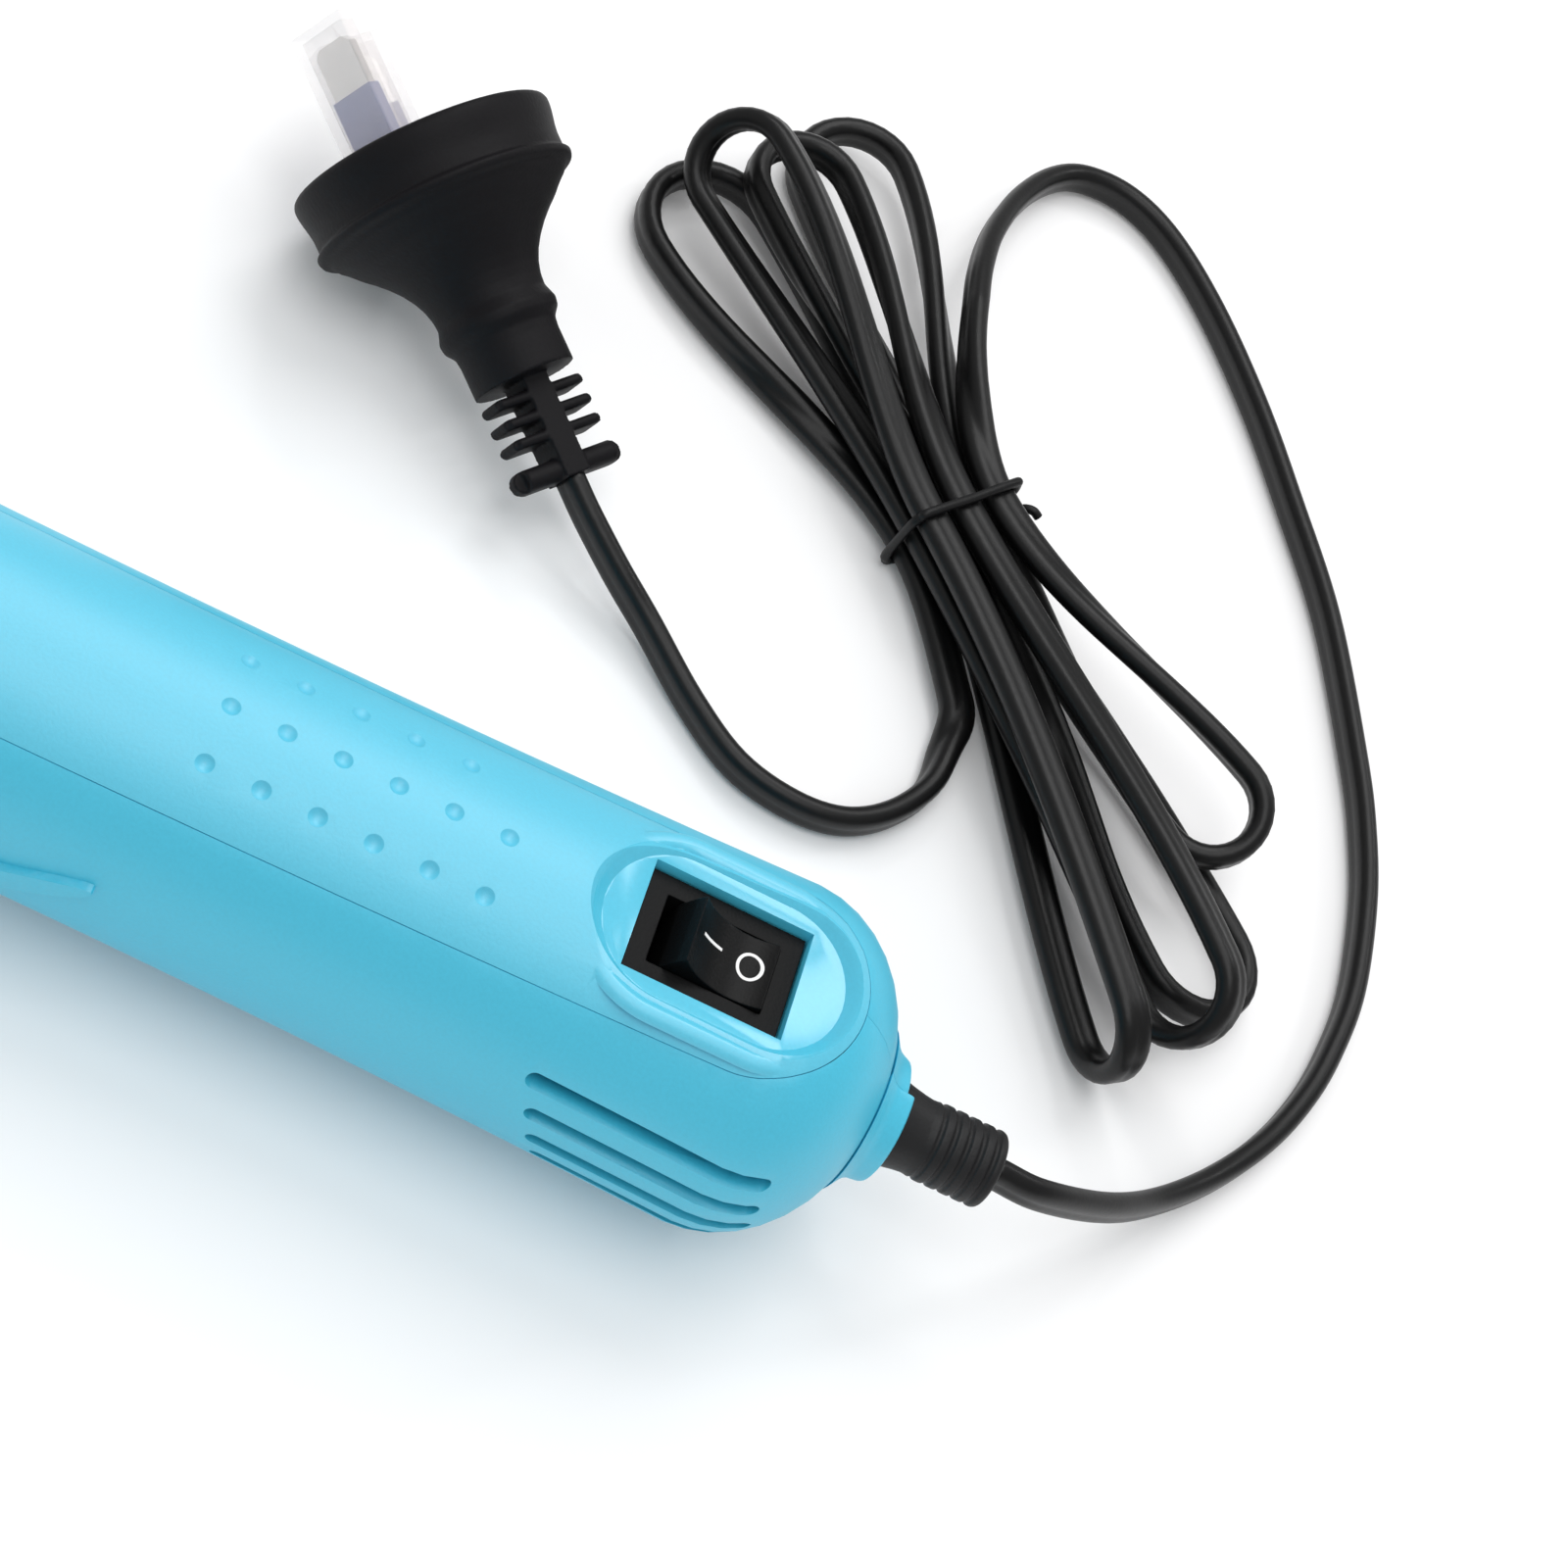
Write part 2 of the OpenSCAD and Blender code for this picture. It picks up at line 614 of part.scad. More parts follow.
module motor_can() {
    can_t = 1;
    color([0.72, 0.72, 0.74]) difference() {
        union() {
            tube_x(motor_x, motor_end, motor_r, motor_r - can_t);
            tube_x(motor_x, motor_x + can_t, motor_r);
            tube_x(motor_x - 1.7, motor_x + 2, 3);
        }
        tube_x(motor_x - 3, motor_x + 4, shaft_r + run_gap);
    }
}
module motor_endcap() {
    cap_t = 1.6;
    color([0.2, 0.2, 0.22]) union() {
        difference() {
            union() {
                tube_x(motor_end - cap_t, motor_end, motor_r - 1 - run_gap);
                tube_x(motor_end - cap_t, motor_end + 1.6, 3);
            }
            tube_x(motor_end - cap_t - 1, shaft_end + 0.3, shaft_r + run_gap);
        }
        for (s = [-1, 1]) translate([motor_end - 0.5, s * 7 - 0.25, axis_z - 1.2])
            cube([7, 0.5, 2.4]);
    }
}
module motor_magnets() {
    color([0.3, 0.3, 0.3]) difference() {
        tube_x(motor_x + 5, motor_end - 6, motor_r - 1 - 0.1, motor_r - 2.8);
        translate([motor_x, -motor_r, axis_z - 4]) cube([motor_l, 2 * motor_r, 8]);
    }
}
module armature() {
    core_r = motor_r - 3.5;
    slot_w = 1.6;
    color([0.6, 0.45, 0.3]) union() {
        tube_x(duct_x + 1.5, shaft_end, shaft_r, 0, medium);
        difference() {
            tube_x(motor_x + 7, motor_end - 8, core_r);
            for (a = [0:60:300]) along_x() rotate(a)
                translate([core_r * 0.45, -slot_w / 2, motor_x + 6]) cube([core_r, slot_w, motor_l]);
        }
        tube_x(motor_end - 6.5, motor_end - 2.6, 2.6);
    }
}
module impeller() {
    hub_l = 9;
    blade_t = 1.1;
    hub_x = duct_x + 2;
    color([0.9, 0.88, 0.82]) difference() {
        union() {
            tube_x(hub_x, hub_x + hub_l, 5.5);
            intersection() {
                tube_x(hub_x + 0.5, hub_x + hub_l - 0.5, impeller_r);
                for (i = [0:blade_n - 1]) along_x() rotate(360 * i / blade_n)
                    translate([impeller_r / 2, 0, hub_x + hub_l / 2]) rotate([38, 0, 0])
                        cube([impeller_r + 2, blade_t, hub_l + 5], center = true);
            }
        }
        tube_x(hub_x - 1, hub_x + hub_l + 1, shaft_r, 0, medium);
    }
}

// Electrics
module rectifier_board() {
    color([0.75, 0.6, 0.35]) difference() {
        tube_x(board_x, board_x + board_t, board_r);
        tube_x(board_x - 1, board_x + board_t + 1, 3.4);
        for (s = [-1, 1]) translate([board_x - 1, s * 7 - 0.35, axis_z - 1.3])
            cube([board_t + 2, 0.7, 2.6]);
    }
}
module diodes() {
    back = board_x + board_t;
    body_l = 5;
    color([0.12, 0.12, 0.13]) for (z = [-9, -6, 6, 9]) {
        pin_y(back + 1.4, axis_z + z, -body_l / 2, body_l / 2, 1.3);
        pin_y(back + 1.4, axis_z + z, -4, 4, 0.35);
        for (s = [-1, 1]) translate([back, s * 3.8, axis_z + z]) rotate([0, 90, 0])
            cylinder(h = 1.6, r = 0.35, $fn = 24);
    }
}
module switch_body() {
    top = axis_z + bezel_z;
    floor = pivot_z - 4.6;
    color(black) difference() {
        union() {
            centred_box(switch_x, bezel_l, bezel_w, top - bezel_t, top);
            centred_box(switch_x, switch_l, switch_w, top - bezel_t - switch_deep, top - bezel_t + eps);
        }
        centred_box(switch_x, window_l, window_w, floor, top + 1);
        pin_y(switch_x, pivot_z, -window_w / 2 - 1.2, window_w / 2 + 1.2, pivot_r + run_gap);
    }
}
module rocker() {
    a = rocker_l / 2;
    hollow_r = (a * a + rocker_dip * rocker_dip) / (2 * rocker_dip);
    half = window_w / 2 - 0.2;
    color(black) translate([switch_x, 0, pivot_z]) rotate([0, rocker_tilt, 0]) union() {
        difference() {
            translate([0, half, 0]) rotate([90, 0, 0]) linear_extrude(2 * half)
                polygon([[-a, rocker_h], [-a - 0.4, rocker_h - 1.6], [-a - 0.9, 2.5], [-a - 0.4, -1.6],
                         [a + 0.4, -1.6], [a + 0.9, 2.5], [a + 0.4, rocker_h - 1.6], [a, rocker_h]]);
            pin_y(0, rocker_h - rocker_dip + hollow_r, -half - 1, half + 1, hollow_r);
        }
        pin_y(0, 0, -half - 1.1, half + 1.1, pivot_r);
    }
}
tab_x = 5;
tab_top = axis_z + bezel_z - bezel_t - switch_deep;
module switch_terminals() {
    color([0.8, 0.68, 0.35]) for (s = [-1, 1]) difference() {
        translate([switch_x + s * tab_x - 0.4, -2.4, tab_top - 7]) cube([0.8, 4.8, 7]);
        translate([switch_x + s * tab_x - 1, 0, tab_top - 5.4]) rotate([0, 90, 0])
            cylinder(h = 2, r = 0.7, $fn = 24);
    }
}
module cord_section(w, t) {
    r = t / 2;
    square([w - t, t], center = true);
    for (s = [-1, 1]) translate([s * (w - t) / 2, 0]) circle(r, $fn = medium);
}
lead_x = clamp_x - 3;
boot_x = dome_end - wall - fit_gap - 2.6;
stem_r = boot_r + 0.45;
module inner_lead() {
    color(black) translate([lead_x, 0, axis_z]) rotate([0, 90, 0])
        linear_extrude(boot_x - lead_x) cord_section(cord_w, cord_t);
}
tab_z = tab_top - 4;
module live_wire() {
    color([0.45, 0.25, 0.12]) {
        wire([[lead_x - 0.3, 0, axis_z + 1.2], [lead_x - 3, 0, axis_z + 1], [lead_x - 5.5, 0, tab_z + 0.3],
              [switch_x + tab_x + 0.6, 0, tab_z]], wire_r);
        wire([[switch_x - tab_x - 0.6, 0, tab_z], [switch_x - 9, 0, tab_z - 0.4],
              [switch_x - 16, -4, tab_z], [board_x + board_t + 5, -6, axis_z + 2.8],
              [board_x + board_t + 0.2, -6, axis_z + 3]], wire_r);
    }
}
module neutral_wire() {
    color([0.1, 0.3, 0.65]) wire([[lead_x - 0.3, 0, axis_z - 1.2], [lead_x - 3, 0, axis_z - 1.6],
        [lead_x - 7, -2, axis_z - 5], [switch_x, -6, axis_z - 7], [switch_x - 14, -6, axis_z - 6],
        [board_x + board_t + 5, -6.5, axis_z - 3.6],
        [board_x + board_t + 0.2, -6.5, axis_z - 3.4]], wire_r);
}
module heater_leads() {
    z0 = axis_z + 6;
    z1 = wire_z;
    color([0.85, 0.85, 0.82]) for (s = [-1, 1])
        wire([[former_end + 0.3, s * 1.6, z0], [former_end + 3, s * 2.4, z0 + 1],
              [former_end + 9, s * 7.6, z1 - 1.5],
              [former_end + 16, s * wire_y, z1], [duct_x + 5, s * wire_y, z1], [motor_x + 10, s * wire_y, z1],
              [motor_end - 4, s * wire_y, z1], [board_x + 2, s * 8.6, z1 - 2],
              [board_x + board_t + 3, s * 7, axis_z + 7.4],
              [board_x + board_t + 0.3, s * 6, axis_z + 6.2]], 0.65);
}
module cord_clamp() {
    y0 = cord_t / 2 + 0.1;
    color([0.9, 0.9, 0.88]) difference() {
        translate([clamp_x + 0.3, y0, axis_z - clamp_z - 2.6]) cube([clamp_l - 0.6, 2.5, 2 * (clamp_z + 2.6)]);
        for (s = [-1, 1]) pin_y(clamp_x + clamp_l / 2, axis_z + s * clamp_z, 0, y0 + 3, 1.35);
    }
}
module clamp_screws() {
    y0 = cord_t / 2 + 0.1 + 2.5;
    color([0.75, 0.76, 0.78]) for (s = [-1, 1]) {
        z = axis_z + s * clamp_z;
        pin_y(clamp_x + clamp_l / 2, z, -7, y0 + 0.5, 1.2);
        difference() {
            pin_y(clamp_x + clamp_l / 2, z, y0, y0 + 1.6, 2.3);
            translate([clamp_x + clamp_l / 2 - 0.35, y0 + 0.9, z - 1.5]) cube([0.7, 2, 3]);
            translate([clamp_x + clamp_l / 2 - 1.5, y0 + 0.9, z - 0.35]) cube([3, 2, 0.7]);
        }
    }
}
module body_screws() {
    color([0.75, 0.76, 0.78]) for (x = boss_x) {
        pin_y(x, boss_z, -8.5, head_y + 0.5, screw_r);
        difference() {
            pin_y(x, boss_z, head_y, head_y + 2, head_r);
            translate([x - 0.4, head_y + 1, boss_z - 1.8]) cube([0.8, 2, 3.6]);
            translate([x - 1.8, head_y + 1, boss_z - 0.4]) cube([3.6, 2, 0.8]);
        }
    }
}

// Cord boot: a flange inside the tail, a plain stem and rounded ribs
module cord_boot() {
    first = tail_x - 1.6 - (groove_n - 1) * groove_pitch;
    color(black) along_x() rotate_extrude($fn = fine) difference() {
        polygon([[0, boot_x], [stem_r + 1.4, boot_x], [stem_r + 1.4, boot_x + 2], [stem_r, boot_x + 2],
                 [stem_r, collar_x - 0.8], [boot_r + 0.15, collar_x + 0.6], [boot_r - 0.1, collar_x + 2],
                 [boot_r - 0.25, collar_x + 3.2], [boot_r - 0.2, first - 0.7], [boot_r, first],
                 [boot_r, tail_x - 0.7], [boot_r - 0.15, tail_x - 0.3], [boot_r - 0.5, tail_x],
                 [0, tail_x]]);
        for (i = [0:groove_n - 1]) translate([boot_r + 0.1, first + i * groove_pitch])
            circle(groove_deep, $fn = 24);
    }
}

// Hank: the folded cord lies about a tied waist. Its own directions are u along
// the strands, l across them and z up.
hank_at = [91.7, 105, 0];
hank_turn = -44;
hank_u = [cos(hank_turn), sin(hank_turn), 0];
hank_l = [-sin(hank_turn), cos(hank_turn), 0];
function in_hank(p) = hank_at + p[0] * hank_u + p[1] * hank_l + [0, 0, p[2]];
function turned(v) = v[0] * hank_u + v[1] * hank_l + [0, 0, v[2]];
row = cord_t + 1;
low = 3.5;
column = cord_w + 1;
// Place of each run at the waist, as [l, z], from the tool's end to the plug's end.
waist = [[column, low + 2 * row], [column, low + row], [column, low], [0, low + row],
         [0, low + 2 * row], [-column, low + row], [-column, low + 2 * row], [0, low], [-column, low]];
// Each fold as [end, u, l, z, radius, tilt, turn], in the same order.
folds = [[1, 54, 13, 12, 7.6, 23, 14], [-1, -60, 18, 4.4, 9, 8, -9], [1, 72, 2.5, 4.6, 9, -8, 0],
         [-1, -57, 4, 10.4, 8, 180, -4], [1, 77, -9, 14.6, 7.5, 62, -6],
         [-1, -60, -8, 14.8, 7.5, 233, 5], [1, 77, -20.5, 10.2, 7, 90, -12],
         [-1, -57, -10, 3.5, 10.5, 0, 3]];
// How firmly each run keeps its direction at the waist.
firm = [1, 1, 1, 1.7, 1, 1, 1, 0.6, 1];
hank_in = [-30, 19.5, 12.5];
hank_in_dir = [0.8, -0.6, 0];
hank_out = [20, -10.4, 3.5];
hank_out_dir = [0.96, -0.28, 0];
function fold_dir(f) = f[0] * [cos(f[6]), sin(f[6]), 0];
function fold_side(f) = [-sin(f[6]) * cos(f[5]), cos(f[6]) * cos(f[5]), sin(f[5])];
function fold_wide(f) = let (w = [sin(f[6]) * sin(f[5]), -cos(f[6]) * sin(f[5]), cos(f[5])])
    w[1] < -0.001 ? -w : w;
function fold_mid(f) = [f[1], f[2], f[3]];
function span(p0, m0, p1, m1, t) = (2 * t * t * t - 3 * t * t + 1) * p0 + (t * t * t - 2 * t * t + t) * m0
    + (3 * t * t - 2 * t * t * t) * p1 + (t * t * t - t * t) * m1;
function run_from(k) = k == 0 ? hank_in : fold_mid(folds[k - 1]) - folds[k - 1][4] * fold_side(folds[k - 1]);
function run_to(k) = k == 8 ? hank_out : fold_mid(folds[k]) + folds[k][4] * fold_side(folds[k]);
function run_away(k) = k == 0 ? hank_in_dir : -fold_dir(folds[k - 1]);
function run_into(k) = k == 8 ? hank_out_dir : fold_dir(folds[k]);
function wide_from(k) = k == 0 ? [0, 0, 1] : fold_wide(folds[k - 1]);
function wide_to(k) = k == 8 ? [0, 1, 0] : fold_wide(folds[k]);
// One run and its fold, as [place, wide direction] pairs.
function hank_run(k, half_n, fold_n) = let (way = [k % 2 == 0 ? 1 : -1, 0, 0],
        mid = [0, waist[k][0], waist[k][1]], a = run_from(k), b = run_to(k),
        l0 = abs(a[0]), l1 = abs(b[0]), flat = [0, 1, 0]) concat(
    [for (i = [0:half_n - 1]) let (t = i / half_n, e = ease(t))
        [span(a, l0 * run_away(k), mid, firm[k] * l0 * way, t), (1 - e) * wide_from(k) + e * flat]],
    [for (i = [0:half_n - 1]) let (t = i / half_n, e = ease(t))
        [span(mid, firm[k] * l1 * way, b, l1 * run_into(k), t), (1 - e) * flat + e * wide_to(k)]],
    k == 8 ? [[b, wide_to(k)]] : [for (i = [0:fold_n - 1]) let (t = 180 * i / fold_n, f = folds[k])
        [fold_mid(f) + f[4] * (cos(t) * fold_side(f) + sin(t) * fold_dir(f)), wide_to(k)]]);
// Least distance between the corners of rings that lie apart along the tube,
// measured with extra rings between the real ones.
function between(r, n) = [for (i = [0:len(r) - 2], j = [0:n - 1])
    [for (k = [0:len(r[0]) - 1]) r[i][k] + (r[i + 1][k] - r[i][k]) * j / n]];
function middle(ring) = (ring[0] + ring[3]) / 2;
function least_gap(r, skip) = min([for (i = [0:len(r) - 1]) let (c = middle(r[i]))
    each [for (j = [i + skip:1:len(r) - 1]) if (norm(middle(r[j]) - c) < 9)
        min([for (p = r[i], q = r[j]) norm(p - q)])]]);
module cord_hank() {
    half_n = 4;
    fold_n = 4;
    runs = [for (k = [0:8]) each hank_run(k, half_n, fold_n)];
    last = len(runs) - 1;
    line = concat([runs[0], [hank_in + 0.5 * hank_in_dir, [0, 0, 1]]], [for (i = [1:last - 1]) runs[i]],
                  [[hank_out - 0.5 * hank_out_dir, [0, 1, 0]], runs[last]]);
    rings = cord_rings([for (p = line) in_hank(p[0])], [for (p = line) turned(p[1])], 6);
    echo(least_gap_of_hank_mm = least_gap(between(rings, 8), 30));
    color(black) sweep(rings);
}
module twist_tie() {
    wire_t = 1.4;
    half = column + cord_w / 2 + wire_t / 2 + 0.4;
    top = low + 2 * row + cord_t / 2 + wire_t / 2 + 0.3;
    bottom = low - cord_t / 2 - wire_t / 2 - 0.2;
    mid = (top + bottom) / 2;
    points = [[-4, 15.5, mid + 2.4], [-2.4, 13, mid + 1.2], [-1.2, half + 0.8, mid + 1.8],
              [-1.1, half, mid + 3.4], [-1, half - 0.8, top - 1], [-0.8, half - 2.2, top], [-0.3, 0, top],
              [0, 2.2 - half, top], [0, 0.8 - half, top - 1], [0, -half, top - 3], [0, -half, bottom + 3],
              [0, 0.8 - half, bottom + 1.1], [0, 2.2 - half, bottom], [0.3, 0, bottom],
              [0.8, half - 2.2, bottom], [1, half - 0.8, bottom + 1.1], [1.1, half, bottom + 3],
              [1.1, half + 0.1, mid], [1.7, half + 1.6, mid + 2.4], [3.2, half + 3.6, mid + 3.2],
              [5, half + 5.8, mid + 2.6]];
    color(black) wire([for (p = points) in_hank(p)], wire_t / 2, 2, hank_u + [0, 0, 0.01]);
}

// Free cord: from the boot round to the hank, and from the hank to the plug.
cap_gap = 0.05;
module tool_lead() {
    z = cord_w / 2 + 0.2;
    points = [[tail_x + 0.6, 0, axis_z], [tail_x + 8, 1, 21], [137.5, 7.5, 14], [147, 15.5, 7.5], [156, 25, 3.8],
              [163, 34.7, z], [167.4, 44, z], [170, 53.3, z], [171.5, 65, z], [170.5, 80, z], [168, 92, z],
              [164, 104, z], [154.5, 126.5, z], [144, 144, z], [134.5, 158.6, z], [123.5, 172.4, z],
              [113.2, 181.9, z], [104.4, 185.8, z], [96.2, 184.8, 3.2], [90.7, 179.8, 4.2], [86.2, 170.5, 6.2],
              [83.4, 159, 9], [82.8, 149, 11.2],
              in_hank(hank_in - 0.6 * hank_in_dir)];
    path = concat([[tail_x + cap_gap, 0, axis_z]], smooth(points, 2),
                  [in_hank(hank_in) - cap_gap * turned(hank_in_dir)]);
    color(black) sweep(cord_rings(path, [for (p = path) [0, 0, 1]], 8));
}
module plug_lead() {
    z = cord_w / 2 + 0.2;
    points = [plug_point([0, 0, -plug_l - 0.6]), plug_point([0, 0, -plug_l - 6]), [48.2, 70.6, 6.3], [55.2, 66.4, 4.2],
              [64.8, 58.8, z], [73.6, 52.9, z], [82.7, 51, z], [90.5, 52.2, z], [96.6, 56.6, z],
              [101, 63.6, z], in_hank([31, -17.5, 3.1]), in_hank([26.5, -12.6, 3.3]),
              in_hank(hank_out + 0.6 * hank_out_dir)];
    path = concat([plug_point([0, 0, -plug_l - cap_gap])], smooth(points, 2),
                  [in_hank(hank_out) + cap_gap * turned(hank_out_dir)]);
    n = len(path);
    side = turned([0, 1, 0]);
    hints = [for (i = [0:n - 1]) let (e = ease((i - n + 9) / 8)) (1 - e) * [0, 0, 1] + e * side];
    color(black) sweep(cord_rings(path, hints, 8));
}

// Plug: local Z runs out along the pins, local X towards the pins' side, Y up.
plug_tilt = 12.8;
plug_turn = 231.2;
plug_z = plug_r * cos(plug_tilt) + plug_head * sin(plug_tilt) + 0.05;
plug_at = [-1.2, 109.4, plug_z];
pin_angle = 60;
pin_roll = -38;
module in_plug() { translate(plug_at) rotate([90 - plug_tilt, 0, plug_turn]) children(); }
function plug_point(p) = let (a = 90 - plug_tilt, y = p[1] * cos(a) - p[2] * sin(a),
        z = p[1] * sin(a) + p[2] * cos(a))
    plug_at + [p[0] * cos(plug_turn) - y * sin(plug_turn), p[0] * sin(plug_turn) + y * cos(plug_turn), z];
module pin_box(grow, z0, z1) {
    for (s = [-1, 1]) rotate(pin_roll + s * pin_angle)
        translate([pin_circle - pin_t / 2 - grow, -pin_w / 2 - grow, z0])
            cube([pin_t + 2 * grow, pin_w + 2 * grow, z1 - z0]);
}
// A bar across the strain relief, with round edges.
module comb_bar(half, z, r, t) {
    for (y = [r - t / 2, t / 2 - r]) translate([-half, y, z]) rotate([0, 90, 0])
        cylinder(h = 2 * half, r = r, $fn = medium);
    translate([-half, r - t / 2, z - r]) cube([2 * half, t - 2 * r, 2 * r]);
    for (x = [-half, half]) translate([x, r - t / 2, z]) rotate([-90, 0, 0])
        cylinder(h = t - 2 * r, r = r, $fn = medium);
}
module plug_body() {
    round_r = 0.8;
    back_z = -plug_head;
    waist_z = -0.48 * plug_l;
    neck_z = -0.7 * plug_l;
    comb_t = 6;
    flare = [for (i = [0:8]) let (t = i / 8)
        [neck_r + 0.7 + (plug_r - neck_r - 1.9) * pow(1 - t, 2), back_z - 1 + (waist_z - back_z + 1) * t]];
    profile = concat([[0, 0], [plug_r - round_r, 0], [plug_r - 0.3 * round_r, -0.3 * round_r],
                      [plug_r, -round_r], [plug_r, back_z + round_r],
                      [plug_r - 0.3 * round_r, back_z + 0.3 * round_r]], flare,
                     [[neck_r + 1.4, waist_z - 2], [neck_r + 1.2, waist_z - 3.2], [neck_r + 0.2, waist_z - 4.5],
                      [neck_r, waist_z - 6], [neck_r, neck_z], [0, neck_z]]);
    color(black) in_plug() difference() {
        union() {
            rotate_extrude($fn = fine) polygon(profile);
            translate([-2, -comb_t / 2, -plug_l]) cube([4, comb_t, plug_l + neck_z + 1]);
            for (i = [0:2]) comb_bar(6.8, neck_z - 2.5 - 3 * i, 0.75, comb_t);
            comb_bar(7.6, 1.6 - plug_l, 1.6, comb_t - 1);
        }
        pin_box(0.02, -6, 1);
    }
}
module plug_pins() {
    tip = 1;
    color([0.78, 0.78, 0.76]) in_plug() for (s = [-1, 1]) rotate(pin_roll + s * pin_angle)
        translate([pin_circle - pin_t / 2, 0, 0]) rotate([90, 0, 90]) linear_extrude(pin_t)
            polygon([[-pin_w / 2, -6], [pin_w / 2, -6], [pin_w / 2, pin_l - tip], [pin_w / 2 - tip, pin_l],
                     [tip - pin_w / 2, pin_l], [-pin_w / 2, pin_l - tip]]);
}
module pin_sleeves() {
    color([0.16, 0.36, 0.72]) in_plug() difference() {
        pin_box(sleeve_wall + 0.02, 0.02, sleeve_len);
        pin_box(0.02, -1, sleeve_len + 1);
    }
}
module pin_cover() {
    play = sleeve_wall + 0.3;
    web_t = 1.2;
    end = 0.3 + pin_cover_l;
    color([0.85, 0.87, 0.88, 0.4]) in_plug() difference() {
        union() {
            pin_box(play + cover_wall, 0.3, end);
            rotate(pin_roll)
                translate([pin_circle * cos(pin_angle) - web_t / 2, -pin_circle * sin(pin_angle), 0.3])
                    cube([web_t, 2 * pin_circle * sin(pin_angle), pin_cover_l]);
        }
        pin_box(play, 0, end - cover_wall);
    }
}

left_shell();
right_shell();
top_cover();
nozzle_tube();
outlet_grille();
heat_sleeve();
heater_former();
heater_coil();
thermal_cutout();
fan_duct();
motor_can();
motor_endcap();
motor_magnets();
armature();
impeller();
rectifier_board();
diodes();
switch_body();
rocker();
switch_terminals();
inner_lead();
live_wire();
neutral_wire();
heater_leads();
cord_clamp();
clamp_screws();
body_screws();
cord_boot();
tool_lead();
cord_hank();
twist_tie();
plug_lead();
plug_body();
plug_pins();
pin_sleeves();
pin_cover();
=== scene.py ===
"""Embossing heat tool on a white table, with its folded cord and its plug.

Lengths in this file are in millimetres until mm() turns them into metres. The
frame is the model's own: X from the nozzle to the cord, Z up, table at Z = 0.
"""
import json
import math

import bpy
from mathutils import Matrix, Vector


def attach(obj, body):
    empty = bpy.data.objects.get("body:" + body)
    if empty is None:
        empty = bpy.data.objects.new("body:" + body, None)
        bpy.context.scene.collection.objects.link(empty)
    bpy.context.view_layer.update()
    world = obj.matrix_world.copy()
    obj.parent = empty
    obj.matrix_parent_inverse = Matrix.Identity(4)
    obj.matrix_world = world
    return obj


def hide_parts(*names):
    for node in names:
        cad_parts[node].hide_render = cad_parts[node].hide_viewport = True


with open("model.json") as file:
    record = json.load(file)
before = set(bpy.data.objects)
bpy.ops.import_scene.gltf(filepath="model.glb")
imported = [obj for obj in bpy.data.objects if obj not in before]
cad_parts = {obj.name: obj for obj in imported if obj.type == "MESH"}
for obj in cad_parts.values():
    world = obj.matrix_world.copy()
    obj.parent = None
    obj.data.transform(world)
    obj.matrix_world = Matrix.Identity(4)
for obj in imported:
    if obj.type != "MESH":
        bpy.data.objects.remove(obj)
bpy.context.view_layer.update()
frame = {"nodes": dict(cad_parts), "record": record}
nodes = frame["nodes"]


def mm(value):
    """Millimetres, or a sequence of them, as metres."""
    if isinstance(value, (int, float)):
        return value / 1000
    return tuple(v / 1000 for v in value)


# Camera
FOCAL_LENGTH = 81.55
SENSOR = 36
NEAREST = 10
CAMERA_AT = (-16.57, -222.01, 398.03)
CAMERA_TURN = (28.711, -23.575, 16.609)
camera_data = bpy.data.cameras.new("camera")
camera_data.lens = FOCAL_LENGTH
camera_data.sensor_width = SENSOR
camera_data.clip_start = mm(NEAREST)
camera = bpy.data.objects.new("camera", camera_data)
camera.location = mm(CAMERA_AT)
camera.rotation_euler = [math.radians(a) for a in CAMERA_TURN]
bpy.context.scene.collection.objects.link(camera)
bpy.context.scene.camera = camera


# Mesh helpers
def add_mesh(name, points, faces, smooth=True):
    """A mesh object from points in metres."""
    mesh = bpy.data.meshes.new(name)
    mesh.from_pydata([tuple(p) for p in points], [], faces)
    mesh.validate()
    mesh.update()
    for polygon in mesh.polygons:
        polygon.use_smooth = smooth
    item = bpy.data.objects.new(name, mesh)
    bpy.context.scene.collection.objects.link(item)
    return item


def ease(t):
    """Smooth step from 0 to 1."""
    t = min(1.0, max(0.0, t))
    return t * t * (3 - 2 * t)


def tangents(path):
    """Unit directions along a path."""
    last = len(path) - 1
    return [
        (path[min(i + 1, last)] - path[max(i - 1, 0)]).normalized()
        for i in range(last + 1)
    ]


def sweep(name, path, wides, section):
    """A closed tube whose section is carried along the path, its first axis kept near wides."""
    points = []
    for place, along, wide in zip(path, tangents(path), wides):
        across = (wide - wide.dot(along) * along).normalized()
        thin = along.cross(across)
        points += [mm(place + a * across + b * thin) for a, b in section]
    n, m = len(path), len(section)
    faces = [
        (i * m + k, i * m + (k + 1) % m, (i + 1) * m + (k + 1) % m, (i + 1) * m + k)
        for i in range(n - 1)
        for k in range(m)
    ]
    faces.append(tuple(range(m - 1, -1, -1)))
    faces.append(tuple((n - 1) * m + k for k in range(m)))
    return add_mesh(name, points, faces)


def smooth_line(points, steps):
    """A smooth curve through chosen points."""
    line = []
    last = len(points) - 1
    for i in range(last):
        b, c = points[i], points[i + 1]
        a = points[i - 1] if i else 2 * b - c
        d = points[i + 2] if i + 2 <= last else 2 * c - b
        for k in range(steps):
            t = k / steps
            bend = 2 * a - 5 * b + 4 * c - d
            swing = 3 * b - 3 * c + d - a
            line.append(0.5 * (2 * b + (c - a) * t + bend * t**2 + swing * t**3))
    line.append(points[-1])
    return line


